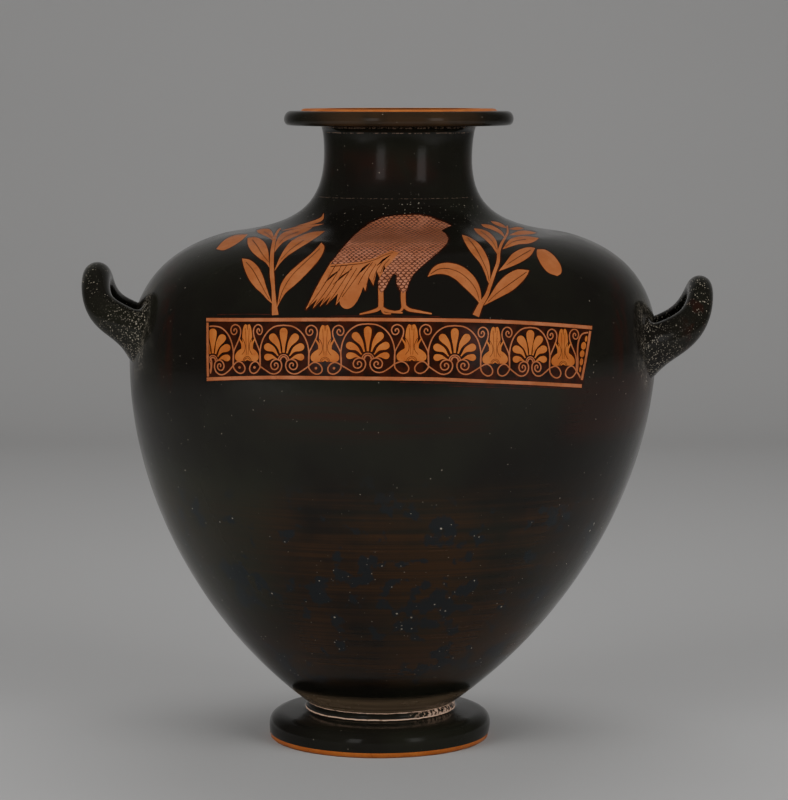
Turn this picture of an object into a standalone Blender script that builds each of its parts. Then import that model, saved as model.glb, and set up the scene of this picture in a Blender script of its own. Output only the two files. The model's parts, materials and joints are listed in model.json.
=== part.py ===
"""A hydria of the round-shouldered kind: a water jar thrown, joined and fired as one piece of clay.

It has a disc foot, a fillet, a deep body that runs into the neck in one curve, a thick round lip,
two upturned handles at the sides and an upright one at the back. It is hollow and open at the mouth.
Lengths are in metres, +Z is up, the painted front faces -Y, and Z 0 is the plane the foot stands on.
"""

import math

import bmesh
import bpy
from mathutils import Matrix, Vector

# Heights, stacked from the floor to the top of the lip
FOOT_HEIGHT = 0.0178
FILLET_HEIGHT = 0.0046
BODY_RISE = 0.2176
SHOULDER_RISE = 0.0700
NECK_RISE = 0.0470
COLLAR_RISE = 0.0170
LIP_HEIGHT = 0.0110

# Foot
FOOT_RADIUS = 0.0683
FOOT_TOP_RADIUS = 0.0600
FOOT_BAND_HEIGHT = 0.0030
RESTING_RING_WIDTH = 0.0140
RESTING_RING_INSET = 0.0016
RECESS_DEPTH = 0.0120
RECESS_FLARE = 0.45
RECESS_EDGE_SHARE = 0.88
FOOT_EDGE_INSET = 0.0022
FOOT_CHAMFER = 0.0008
FOOT_CHAMFER_RISE = 0.0007
FOOT_SIDE_INSET = 0.0008
FOOT_TOP_SHARE = 0.925
FOOT_LOW_PULL = 0.62
FOOT_HIGH_PULL = 0.86
FOOT_HIGH_INSET = 0.0010
FILLET_RADIUS = 0.0457
FILLET_TOE = 0.0012
FILLET_TOE_RISE = 0.0008
FILLET_TOP_INSET = 0.0004

# Body, shoulder and neck
STEM_RADIUS = 0.0447
BELLY_RADIUS = 0.1600
SHOULDER_RADIUS = 0.1037
NECK_RADIUS = 0.0449
COLLAR_RADIUS = 0.0466
WALL = 0.0056
FLOOR_THICKNESS = 0.0080
FLOOR_DISH = 0.0006
FLOOR_SHARE = 0.75
FLOOR_GAP = 0.00224
THROAT_MARGIN = 0.0020

# How the side of the jar is drawn: shares of the spans between the radii and heights above
STEM_PULL_OUT = 0.51
STEM_PULL_UP = 0.195
BELLY_PULL_DOWN = 0.43
BELLY_PULL_UP = 0.80
SHOULDER_PULL_OUT = 0.20
SHOULDER_PULL_DOWN = 0.045
SHOULDER_PULL_IN = 0.66
SHOULDER_PULL_UP = 0.10
NECK_PULL_DOWN = 0.72
NECK_PULL_UP = 0.40
COLLAR_PULL_IN = 0.30
COLLAR_PULL_DOWN = 0.70

# Lip
LIP_RADIUS = 0.0697
LIP_BAND_RADIUS = 0.0583
LIP_BAND_RISE = 0.0010
MOUTH_RADIUS = 0.0500
LIP_EDGE = 0.0034
LIP_BULGE = 0.0008
LIP_UNDERCUT = 0.0010
LIP_LOW_PULL = 0.10
LIP_HIGH_PULL = 0.12
COLLAR_TOE = 0.0012
COLLAR_TOE_RISE = 0.0005
LIP_BAND_TOE = 0.0012
LIP_BAND_TOE_RISE = 0.0001
LIP_BAND_DROP = 0.0003
LIP_BAND_INSET = 0.0010
THROAT_PULL = 0.55
MOUTH_PULL_IN = 0.0035
MOUTH_PULL_DOWN = 0.0030

# The axis leans to the right: its offset at the top of the lip, and how far it bows on the way
LEAN = 0.0122
LEAN_BOW = 0.0010

# Side handles, bent by hand, so that each has its own place, reach and thickness
LIMB_HALF_SPAN = 0.0430
LIMB_ROLL = 0.00235
LEFT_ROOT_ABOVE_BELLY = 0.0064
LEFT_REACH = 0.0199
LEFT_RISE = 0.0374
LEFT_START_SLOPE = 2.0
LEFT_HOOK = 0.0010
LEFT_TIP_RADIUS = 0.0085
LEFT_LIMB_HALF_HEIGHT = 0.0110
LEFT_LIMB_HALF_WIDTH = 0.0090
RIGHT_ROOT_ABOVE_BELLY = -0.0023
RIGHT_REACH = 0.0265
RIGHT_RISE = 0.0390
RIGHT_START_SLOPE = 1.3
RIGHT_HOOK = 0.0040
RIGHT_TIP_RADIUS = 0.0074
RIGHT_LIMB_HALF_HEIGHT = 0.0122
RIGHT_LIMB_HALF_WIDTH = 0.0102
ROOT_HALF_WIDTH = 0.0170
ROOT_HALF_HEIGHT = 0.0230
ROOT_RISE = 0.0062
ROOT_FILLET = 0.0045
ROOT_TURN = 0.0110
ROOT_DEPTH_SHARE = 0.9
START_PULL = 0.30
TIP_PULL = 0.26

# Back handle
BACK_HALF_WIDTH = 0.0110
BACK_HALF_THICKNESS = 0.0085
BACK_ROOT_BELOW_LIP = 0.0215
BACK_FOOT_OUT = 0.0600
BACK_CLEARANCE = 0.0260
BACK_FLARE = 1.55
BACK_TOP_PULL_OUT = 1.35
BACK_TOP_PULL_UP = 0.55
BACK_FOOT_PULL_OUT = 0.45
BACK_FOOT_PULL_UP = 1.25

# Facets
SEGMENTS = 48
FOOT_STEPS = 5
BODY_STEPS = 9
SHOULDER_STEPS = 7
HOLLOW_STEPS = 8
FLARE_STEPS = 2
LIP_STEPS = 6
MOUTH_STEPS = 4
HANDLE_SIDES = 12
HANDLE_RINGS = 20
RING_CROWDING = 1.5
TANGENT_STEP = 0.0005
HALVINGS = 30
SHARP_ANGLE = math.radians(35.0)
SKIN = 0.0008
WELD = 0.000001

FILLET_Z = FOOT_HEIGHT
STEM_Z = FILLET_Z + FILLET_HEIGHT
BELLY_Z = STEM_Z + BODY_RISE
SHOULDER_Z = BELLY_Z + SHOULDER_RISE
NECK_Z = SHOULDER_Z + NECK_RISE
LIP_Z = NECK_Z + COLLAR_RISE
TOP_Z = LIP_Z + LIP_HEIGHT

CLAY_BLACK = (0.012, 0.011, 0.010, 1.0)
CLAY_ROUGHNESS = 0.28


def curve_points(start, pull_start, pull_end, end, steps):
    """Points of a cubic curve from start to end, with the first one left out."""
    points = []
    for i in range(1, steps + 1):
        t = i / steps
        s = 1.0 - t
        points.append(
            tuple(
                s**3 * a + 3 * s * s * t * b + 3 * s * t * t * c + t**3 * d
                for a, b, c, d in zip(start, pull_start, pull_end, end)
            )
        )
    return points


def body_curve():
    """The side of the jar from the stem to the lip as (radius, height)."""
    stem = (STEM_RADIUS, STEM_Z)
    belly = (BELLY_RADIUS, BELLY_Z)
    shoulder = (SHOULDER_RADIUS, SHOULDER_Z)
    neck = (NECK_RADIUS, NECK_Z)
    collar = (COLLAR_RADIUS, LIP_Z)
    out = BELLY_RADIUS - STEM_RADIUS
    rise = BODY_RISE
    lower = curve_points(
        stem,
        (STEM_RADIUS + STEM_PULL_OUT * out, STEM_Z + STEM_PULL_UP * rise),
        (BELLY_RADIUS, BELLY_Z - BELLY_PULL_DOWN * rise),
        belly,
        BODY_STEPS,
    )
    high_out = SHOULDER_RADIUS + SHOULDER_PULL_OUT * (BELLY_RADIUS - SHOULDER_RADIUS)
    upper = curve_points(
        belly,
        (BELLY_RADIUS, BELLY_Z + BELLY_PULL_UP * SHOULDER_RISE),
        (high_out, SHOULDER_Z - SHOULDER_PULL_DOWN * SHOULDER_RISE),
        shoulder,
        SHOULDER_STEPS,
    )
    throat = SHOULDER_RADIUS - NECK_RADIUS
    hollow = curve_points(
        shoulder,
        (SHOULDER_RADIUS - SHOULDER_PULL_IN * throat, SHOULDER_Z + SHOULDER_PULL_UP * NECK_RISE),
        (NECK_RADIUS, NECK_Z - NECK_PULL_DOWN * NECK_RISE),
        neck,
        HOLLOW_STEPS,
    )
    flare_out = COLLAR_RADIUS - NECK_RADIUS
    flare = curve_points(
        neck,
        (NECK_RADIUS, NECK_Z + NECK_PULL_UP * COLLAR_RISE),
        (NECK_RADIUS + COLLAR_PULL_IN * flare_out, NECK_Z + COLLAR_PULL_DOWN * COLLAR_RISE),
        collar,
        FLARE_STEPS,
    )
    return [stem] + lower + upper + hollow + flare


def inset_curve(points, inset):
    """The same curve moved by inset towards the axis side, square to its own direction."""
    moved = []
    for i, point in enumerate(points):
        before = points[max(i - 1, 0)]
        after = points[min(i + 1, len(points) - 1)]
        along = Vector((after[0] - before[0], after[1] - before[1])).normalized()
        moved.append((point[0] - along.y * inset, point[1] + along.x * inset))
    return moved


def body_radius(height):
    """The outer radius of the jar at a height between the stem and the lip."""
    points = body_curve()
    for low, high in zip(points, points[1:]):
        if low[1] <= height <= high[1]:
            share = (height - low[1]) / (high[1] - low[1])
            return low[0] + share * (high[0] - low[0])
    raise ValueError("the height is not on the body")


def axis_offset(height):
    """How far the jar's leaning axis stands to the right of the foot's centre at a height."""
    share = min(max(height / TOP_Z, 0.0), 1.0)
    return LEAN * share + 4.0 * LEAN_BOW * share * (1.0 - share)


def foot_profile():
    """The foot and fillet from the underside's centre outwards and up, as (radius, height)."""
    ring_inner = FOOT_RADIUS - RESTING_RING_INSET - RESTING_RING_WIDTH
    recess_radius = ring_inner - RECESS_FLARE * RECESS_DEPTH
    side = FOOT_RADIUS - FOOT_SIDE_INSET
    edge = FOOT_RADIUS - FOOT_EDGE_INSET
    shoulder = curve_points(
        (side, FOOT_BAND_HEIGHT),
        (FOOT_RADIUS + FOOT_SIDE_INSET, FOOT_LOW_PULL * FOOT_HEIGHT),
        (FOOT_RADIUS - FOOT_HIGH_INSET, FOOT_HIGH_PULL * FOOT_HEIGHT),
        (FOOT_TOP_RADIUS, FOOT_TOP_SHARE * FOOT_HEIGHT),
        FOOT_STEPS,
    )
    return (
        [
            (0.0, RECESS_DEPTH),
            (recess_radius, RECESS_EDGE_SHARE * RECESS_DEPTH),
            (ring_inner, 0.0),
            (edge, 0.0),
            (edge + FOOT_CHAMFER, FOOT_CHAMFER_RISE),
            (side, FOOT_BAND_HEIGHT),
        ]
        + shoulder
        + [
            (FILLET_RADIUS + FILLET_TOE, FOOT_HEIGHT),
            (FILLET_RADIUS, FILLET_Z + FILLET_TOE_RISE),
            (FILLET_RADIUS - FILLET_TOP_INSET, STEM_Z - FILLET_TOP_INSET),
        ]
    )


def lip_profile():
    """The lip from the collar out, over its round edge and in to the jar's axis above the mouth."""
    edge_low = LIP_Z + LIP_UNDERCUT
    black_top = TOP_Z - LIP_BAND_RISE
    bulge = LIP_RADIUS + LIP_BULGE
    outer = curve_points(
        (LIP_RADIUS - LIP_EDGE, edge_low),
        (bulge, LIP_Z + LIP_LOW_PULL * LIP_HEIGHT),
        (bulge, black_top - LIP_HIGH_PULL * LIP_HEIGHT),
        (LIP_RADIUS - LIP_EDGE, black_top),
        LIP_STEPS,
    )
    return (
        [(COLLAR_RADIUS + COLLAR_TOE, LIP_Z + COLLAR_TOE_RISE), (LIP_RADIUS - LIP_EDGE, edge_low)]
        + outer
        + [
            (LIP_BAND_RADIUS + LIP_BAND_TOE, black_top + LIP_BAND_TOE_RISE),
            (LIP_BAND_RADIUS, TOP_Z - LIP_BAND_DROP),
            (LIP_BAND_RADIUS - LIP_BAND_INSET, TOP_Z),
            (0.0, TOP_Z),
        ]
    )


def cavity_profile():
    """The hollow from its floor's centre up the wall, through the neck and out above the mouth."""
    inner = inset_curve(body_curve(), WALL)
    floor_z = STEM_Z + FLOOR_THICKNESS
    wall = [p for p in inner if floor_z + FLOOR_GAP < p[1] < NECK_Z + THROAT_MARGIN]
    wall = wall[:1] + wall[1:-1:2] + wall[-1:]
    throat = wall[-1]
    mouth = curve_points(
        throat,
        (throat[0], throat[1] + THROAT_PULL * (TOP_Z - throat[1])),
        (MOUTH_RADIUS - MOUTH_PULL_IN, TOP_Z - MOUTH_PULL_DOWN),
        (MOUTH_RADIUS, TOP_Z),
        MOUTH_STEPS,
    )
    return (
        [(0.0, floor_z), (FLOOR_SHARE * wall[0][0], floor_z + FLOOR_DISH)]
        + wall
        + mouth
        + [(MOUTH_RADIUS + WALL, TOP_Z + WALL), (0.0, TOP_Z + WALL)]
    )


def turned(name, profile):
    """A solid turned from a profile that starts and ends on the axis, then leant with the jar."""
    form = bmesh.new()
    points = [form.verts.new((radius, 0.0, height)) for radius, height in profile]
    edges = [form.edges.new(pair) for pair in zip(points, points[1:])]
    bmesh.ops.spin(
        form,
        geom=points + edges,
        axis=(0.0, 0.0, 1.0),
        cent=(0.0, 0.0, 0.0),
        angle=2.0 * math.pi,
        steps=SEGMENTS,
        use_merge=True,
        use_duplicate=False,
    )
    bmesh.ops.remove_doubles(form, verts=form.verts, dist=WELD)
    for vert in form.verts:
        vert.co.x += axis_offset(vert.co.z)
    bmesh.ops.recalc_face_normals(form, faces=form.faces)
    return finished(name, form)


def finished(name, form):
    """A scene object from a bmesh, which is freed."""
    mesh = bpy.data.meshes.new(name)
    form.to_mesh(mesh)
    form.free()
    made = bpy.data.objects.new(name, mesh)
    bpy.context.scene.collection.objects.link(made)
    return made


def lofted(name, rings):
    """A closed bar through rings of points, each ring with as many points as the next."""
    form = bmesh.new()
    loops = [[form.verts.new(point) for point in ring] for ring in rings]
    for loop, following in zip(loops, loops[1:]):
        for k in range(len(loop)):
            n = (k + 1) % len(loop)
            form.faces.new((loop[k], loop[n], following[n], following[k]))
    form.faces.new(loops[0])
    form.faces.new(loops[-1])
    bmesh.ops.recalc_face_normals(form, faces=form.faces)
    return finished(name, form)


def curve_lengths(points):
    """The distance from the first point to each point, along the line through them."""
    lengths = [0.0]
    for low, high in zip(points, points[1:]):
        lengths.append(lengths[-1] + math.dist(low, high))
    return lengths


def wall_place(angle, distance, depth=0.0):
    """A point on the outside of the body, with its directions up the profile and around the jar.

    The angle is about the axis from +X, the distance runs up the profile from the stem, and depth
    sinks the point square to the surface.
    """
    points = body_curve()
    lengths = curve_lengths(points)
    i = max(k for k in range(len(points) - 1) if lengths[k] <= distance)
    share = (distance - lengths[i]) / (lengths[i + 1] - lengths[i])
    rise = Vector((points[i + 1][0] - points[i][0], points[i + 1][1] - points[i][1])).normalized()
    radius = points[i][0] + share * (points[i + 1][0] - points[i][0]) - rise.y * depth
    height = points[i][1] + share * (points[i + 1][1] - points[i][1]) + rise.x * depth
    outward = Vector((math.cos(angle), math.sin(angle), 0.0))
    up = outward * rise.x + Vector((0.0, 0.0, rise.y))
    around = Vector((-math.sin(angle), math.cos(angle), 0.0))
    point = outward * radius + Vector((axis_offset(height), 0.0, height))
    return point, up, around


def distance_up(is_past):
    """The distance up the profile, from the stem, of the first point past a mark."""
    points = body_curve()
    lengths = curve_lengths(points)
    i = next(k for k in range(1, len(points)) if is_past(points[k]))
    low, high = 0.0, 1.0
    for _ in range(HALVINGS):
        share = 0.5 * (low + high)
        between = tuple(a + share * (b - a) for a, b in zip(points[i - 1], points[i]))
        low, high = (low, share) if is_past(between) else (share, high)
    return lengths[i - 1] + high * (lengths[i] - lengths[i - 1])


def lifted_to_skin(point):
    """The point itself, or where it lies deeper in the body than SKIN, the nearest point at that depth."""
    points = body_curve()
    offset = Vector((axis_offset(point.z), 0.0, 0.0))
    around = Vector((point.x - offset.x, point.y, 0.0))
    flat = Vector((around.length, point.z))
    nearest, outward = None, None
    for low, high in zip(points, points[1:]):
        side = Vector((high[0] - low[0], high[1] - low[1]))
        share = min(max((flat - Vector(low)).dot(side) / side.length_squared, 0.0), 1.0)
        foot = Vector(low) + side * share
        if nearest is None or (flat - foot).length < (flat - nearest).length:
            nearest, outward = foot, Vector((side.y, -side.x)).normalized()
    if (flat - nearest).dot(outward) > -SKIN:
        return point
    moved = nearest - outward * SKIN
    return around.normalized() * moved.x + Vector((axis_offset(moved.y), 0.0, moved.y))


def root_directions(root, first, second):
    """The two directions of a handle's section laid flat on the wall at its root."""
    _, up, around = wall_place(root[0], root[1])
    flat = []
    for direction in (first, second):
        flat.append((up * direction.dot(up) + around * direction.dot(around)).normalized())
    return flat


def root_oval(root, flat_first, flat_second, depth):
    """The outline that a handle's root has on the wall, sunk by depth.

    A root is (angle, distance, half size towards first, half size towards second).
    """
    angle, distance, half_first, half_second = root
    point, up, around = wall_place(angle, distance)
    radius = math.hypot(point.x - axis_offset(point.z), point.y)
    ring = []
    for k in range(HANDLE_SIDES):
        turn = 2.0 * math.pi * k / HANDLE_SIDES
        flat = flat_first * (half_first * math.cos(turn)) + flat_second * (half_second * math.sin(turn))
        ring.append(wall_place(angle + flat.dot(around) / radius, distance + flat.dot(up), depth)[0])
    return ring


def handle(name, place, half_sizes, upright, roots):
    """A bar whose middle is place(t) for t from 0 to 1, spreading into an oval root at both ends.

    half_sizes(t) gives its half size towards upright and its half size across that. Near a root the
    sections turn to lie flat on the wall, and grow so that the bar keeps its thickness.
    """
    stations = []
    for i in range(HANDLE_RINGS + 1):
        share = 2.0 * i / HANDLE_RINGS - 1.0
        t = 0.5 + 0.5 * math.copysign(1.0 - (1.0 - abs(share)) ** RING_CROWDING, share)
        along = (place(min(t + TANGENT_STEP, 1.0)) - place(max(t - TANGENT_STEP, 0.0))).normalized()
        first = (upright - upright.dot(along) * along).normalized()
        stations.append((place(t), half_sizes(t), first, along.cross(first)))
    flats = [root_directions(roots[0], *stations[0][2:]), root_directions(roots[1], *stations[-1][2:])]
    ovals = [root_oval(root, *flat, SKIN) for root, flat in zip(roots, flats)]
    sunk = [root_oval(root, *flat, ROOT_DEPTH_SHARE * WALL) for root, flat in zip(roots, flats)]
    rings = []
    for middle, sizes, first, second in stations:
        gaps = [(middle - place(end)).length for end in (0.0, 1.0)]
        spreads = [math.exp(-gap / ROOT_FILLET) for gap in gaps]
        turns = [math.exp(-((gap / ROOT_TURN) ** 2)) for gap in gaps]
        axes = []
        for square, lying, size in zip((first, second), zip(*flats), sizes):
            turned_to = square * (1.0 - sum(turns)) + lying[0] * turns[0] + lying[1] * turns[1]
            turned_to.normalize()
            axes.append(turned_to * (size / turned_to.dot(square)))
        ring = []
        for k in range(HANDLE_SIDES):
            turn = 2.0 * math.pi * k / HANDLE_SIDES
            bar = middle + axes[0] * math.cos(turn) + axes[1] * math.sin(turn)
            bar = bar * (1.0 - sum(spreads)) + ovals[0][k] * spreads[0] + ovals[1][k] * spreads[1]
            ring.append(lifted_to_skin(bar))
        rings.append(ring)
    return lofted(name, [sunk[0]] + rings + [sunk[1]])


def side_handle(name, side, root_above_belly, reach, rise, start_slope, hook, tip_radius, limb_half_sizes):
    """An upturned loop: two limbs leave the belly side by side, bend up and meet at the tip.

    Seen from above the loop is half an ellipse. Seen from the front it climbs a cubic curve that
    starts at a slope and ends upright. The loop is rolled, so that the front limb is the higher.
    """
    root_z = BELLY_Z + root_above_belly
    centre = axis_offset(root_z)
    surface = math.sqrt(body_radius(root_z) ** 2 - LIMB_HALF_SPAN**2)
    out = BELLY_RADIUS + reach - surface
    pull_out = START_PULL * out
    climb = ((0.0, 0.0), (pull_out, pull_out * start_slope), (out - hook, TIP_PULL * rise), (out, rise))

    def place(t):
        along = math.sin(math.pi * t)
        rest = 1.0 - along
        shares = (rest**3, 3.0 * rest * rest * along, 3.0 * rest * along * along, along**3)
        outward = sum(share * point[0] for share, point in zip(shares, climb))
        upward = sum(share * point[1] for share, point in zip(shares, climb))
        front = math.cos(math.pi * t)
        upward += LIMB_ROLL * front
        return Vector((centre + side * (surface + outward), -LIMB_HALF_SPAN * front, root_z + upward))

    def half_sizes(t):
        near_tip = math.sin(math.pi * t) ** 2
        return tuple(size + (tip_radius - size) * near_tip for size in limb_half_sizes)

    heights = [root_z + ROOT_RISE + roll for roll in (LIMB_ROLL, -LIMB_ROLL)]
    distances = [distance_up(lambda point, height=height: point[1] >= height) for height in heights]
    turn = math.asin(LIMB_HALF_SPAN / body_radius(root_z))
    middle_angle = 0.0 if side > 0 else math.pi
    angles = (middle_angle - side * turn, middle_angle + side * turn)
    roots = [(*root, ROOT_HALF_HEIGHT, ROOT_HALF_WIDTH) for root in zip(angles, distances)]
    return handle(name, place, half_sizes, Vector((0.0, 0.0, 1.0)), roots)


def back_handle(name):
    """The upright handle at the back, from the neck under the lip down to the shoulder."""
    top_z = LIP_Z - BACK_ROOT_BELOW_LIP
    foot_radius = NECK_RADIUS + BACK_FOOT_OUT
    top_distance = distance_up(lambda point: point[1] >= top_z)
    foot_distance = distance_up(lambda point: point[1] >= BELLY_Z and point[0] <= foot_radius)
    back = 0.5 * math.pi
    start = wall_place(back, top_distance)[0]
    end = wall_place(back, foot_distance)[0]
    pulls = (
        start + BACK_CLEARANCE * Vector((0.0, BACK_TOP_PULL_OUT, BACK_TOP_PULL_UP)),
        end + BACK_CLEARANCE * Vector((0.0, BACK_FOOT_PULL_OUT, BACK_FOOT_PULL_UP)),
    )

    def place(t):
        rest = 1.0 - t
        shares = (rest**3, 3.0 * rest * rest * t, 3.0 * rest * t * t, t**3)
        return sum((p * share for p, share in zip((start, *pulls, end), shares)), Vector((0.0, 0.0, 0.0)))

    def half_sizes(_t):
        return BACK_HALF_WIDTH, BACK_HALF_THICKNESS

    roots = [
        (back, distance, BACK_FLARE * BACK_HALF_WIDTH, BACK_FLARE * BACK_HALF_THICKNESS)
        for distance in (top_distance, foot_distance)
    ]
    return handle(name, place, half_sizes, Vector((1.0, 0.0, 0.0)), roots)


def combine(target, tool, operation):
    """Joins a tool into the target, or cuts it out, and removes the tool."""
    modifier = target.modifiers.new(operation, "BOOLEAN")
    modifier.operation = operation
    modifier.object = tool
    modifier.solver = "EXACT"
    bpy.context.view_layer.update()
    depsgraph = bpy.context.evaluated_depsgraph_get()
    mesh = bpy.data.meshes.new_from_object(target.evaluated_get(depsgraph))
    target.modifiers.clear()
    target.data = mesh
    bpy.data.objects.remove(tool)


def glaze_material():
    """The glossy black slip that covers nearly the whole jar."""
    material = bpy.data.materials.new("black_gloss")
    material.use_nodes = True
    shader = material.node_tree.nodes["Principled BSDF"]
    shader.inputs["Base Color"].default_value = CLAY_BLACK
    shader.inputs["Roughness"].default_value = CLAY_ROUGHNESS
    shader.inputs["Metallic"].default_value = 0.0
    return material


def main():
    """Builds the jar in the middle of its own width, standing on Z 0."""
    for old in list(bpy.data.objects):
        bpy.data.objects.remove(old)
    jar = turned("hydria", foot_profile() + body_curve() + lip_profile())
    handles = [
        side_handle(
            "left_handle",
            -1,
            LEFT_ROOT_ABOVE_BELLY,
            LEFT_REACH,
            LEFT_RISE,
            LEFT_START_SLOPE,
            LEFT_HOOK,
            LEFT_TIP_RADIUS,
            (LEFT_LIMB_HALF_HEIGHT, LEFT_LIMB_HALF_WIDTH),
        ),
        side_handle(
            "right_handle",
            1,
            RIGHT_ROOT_ABOVE_BELLY,
            RIGHT_REACH,
            RIGHT_RISE,
            RIGHT_START_SLOPE,
            RIGHT_HOOK,
            RIGHT_TIP_RADIUS,
            (RIGHT_LIMB_HALF_HEIGHT, RIGHT_LIMB_HALF_WIDTH),
        ),
        back_handle("back_handle"),
    ]
    for handle in handles:
        combine(jar, handle, "UNION")
    combine(jar, turned("cavity", cavity_profile()), "DIFFERENCE")
    across = [vert.co.x for vert in jar.data.vertices]
    jar.data.transform(Matrix.Translation((-(min(across) + max(across)) / 2.0, 0.0, 0.0)))
    jar.data.materials.clear()
    jar.data.materials.append(glaze_material())
    jar.data.shade_smooth()
    jar.data.set_sharp_from_angle(angle=SHARP_ANGLE)


main()
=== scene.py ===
"""The hydria's looks: the turned jar with its reserved figures and frieze, and its three handles.

Lengths are metres in the row frame: +Z up, the painted front faces -Y, and Z 0 is the floor.
Angles about the jar's axis, called turns, start at the front and grow towards +X.
"""

import json
import logging
import math
from dataclasses import dataclass, field
from enum import IntEnum
from typing import ClassVar

import bpy
import numpy as np
from mathutils import Euler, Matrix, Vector
from mathutils.geometry import delaunay_2d_cdt


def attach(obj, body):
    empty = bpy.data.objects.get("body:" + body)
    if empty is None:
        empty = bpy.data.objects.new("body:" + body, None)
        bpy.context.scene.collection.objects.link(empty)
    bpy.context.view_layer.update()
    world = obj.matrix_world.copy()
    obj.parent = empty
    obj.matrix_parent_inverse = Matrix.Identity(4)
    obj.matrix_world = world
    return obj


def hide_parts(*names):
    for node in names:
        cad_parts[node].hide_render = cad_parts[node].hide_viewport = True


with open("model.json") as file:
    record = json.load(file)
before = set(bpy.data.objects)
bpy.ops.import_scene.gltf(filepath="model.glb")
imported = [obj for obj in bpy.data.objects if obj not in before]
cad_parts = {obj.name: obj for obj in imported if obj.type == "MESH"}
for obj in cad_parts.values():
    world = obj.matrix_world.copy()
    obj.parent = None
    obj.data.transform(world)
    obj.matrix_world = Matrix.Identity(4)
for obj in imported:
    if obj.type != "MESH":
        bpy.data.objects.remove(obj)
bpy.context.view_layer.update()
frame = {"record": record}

NODE = "hydria"
BODY = "root"

Array = np.ndarray
Material = bpy.types.Material
Node = bpy.types.Node
NodeTree = bpy.types.NodeTree
Object = bpy.types.Object
Socket = bpy.types.NodeSocket
SIDES = (-1.0, 1.0)

log = logging.getLogger("hydria")


class Finish(IntEnum):
    """What a face of the jar is finished with; the number is its material slot."""

    GLOSS = 0
    CLAY = 1
    RELIEF = 2
    DILUTE = 3
    PLUMAGE = 4
    TENDRIL = 5
    RAW = 6
    EDGE = 7
    LEAF = 8


def cubic(start: tuple, pull_start: tuple, pull_end: tuple, end: tuple, steps: int) -> Array:
    """Points of a cubic curve: the four given points weighted by s^3, 3s^2t, 3st^2 and t^3, with s = 1 - t.

    Args:
        start: first point.
        pull_start: point that the curve leaves towards.
        pull_end: point that the curve arrives from.
        end: last point.
        steps: number of equal steps of t.

    Returns:
        An array of steps + 1 points.
    """
    t = np.linspace(0.0, 1.0, steps + 1)[:, None]
    s = 1.0 - t
    a, b, c, d = (np.asarray(point, float) for point in (start, pull_start, pull_end, end))
    return s**3 * a + 3 * s * s * t * b + 3 * s * t * t * c + t**3 * d


def unit(vectors: Array) -> Array:
    """Each vector at length 1."""
    return vectors / np.linalg.norm(vectors, axis=-1, keepdims=True)


def grid_quads(rows: int, columns: int, closed: bool = True) -> Array:
    """Quads between the neighbours of a grid of points.

    Args:
        rows: rows of points.
        columns: points in a row.
        closed: whether each row's last point joins its first.

    Returns:
        Array (rows - 1, columns, 4) of indices, with one column less when the rows are open.
    """
    i = np.arange(rows - 1)[:, None] * columns
    j = np.arange(columns if closed else columns - 1)[None, :]
    ahead = (j + 1) % columns
    return np.stack(np.broadcast_arrays(i + j, i + ahead, i + columns + ahead, i + columns + j), axis=2)


def grid_caps(rows: int, columns: int) -> tuple:
    """Triangles that close a grid's first and last ring with the two points stored after the grid."""
    ring = np.arange(columns)
    ahead = (ring + 1) % columns
    last = (rows - 1) * columns
    pole = np.full(columns, rows * columns)
    return np.stack([pole, ahead, ring], axis=1), np.stack([last + ring, last + ahead, pole + 1], axis=1)


def lengths_along(points: Array) -> Array:
    """The distance from the first point to each point, summed along the line through them."""
    steps = np.linalg.norm(np.diff(points, axis=0), axis=1)
    return np.concatenate([[0.0], np.cumsum(steps)])


def resampled(points: Array, spacing: float) -> Array:
    """The same line with points at equal distances of about the spacing, its ends kept."""
    along = lengths_along(points)
    count = max(int(round(along[-1] / spacing)), 1)
    at = np.linspace(0.0, along[-1], count + 1)
    return np.stack([np.interp(at, along, points[:, k]) for k in range(points.shape[1])], axis=1)


def softened(points: Array, radius: float) -> Array:
    """The line with each inner corner cut back by radius and bridged by three points of a parabola."""
    out = [points[0]]
    for before, corner, after in zip(points, points[1:-1], points[2:]):
        back = before - corner
        ahead = after - corner
        low = corner + back * min(radius / np.linalg.norm(back), 0.45)
        high = corner + ahead * min(radius / np.linalg.norm(ahead), 0.45)
        out += [low, 0.25 * low + 0.5 * corner + 0.25 * high, high]
    out.append(points[-1])
    return np.array(out)


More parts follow.
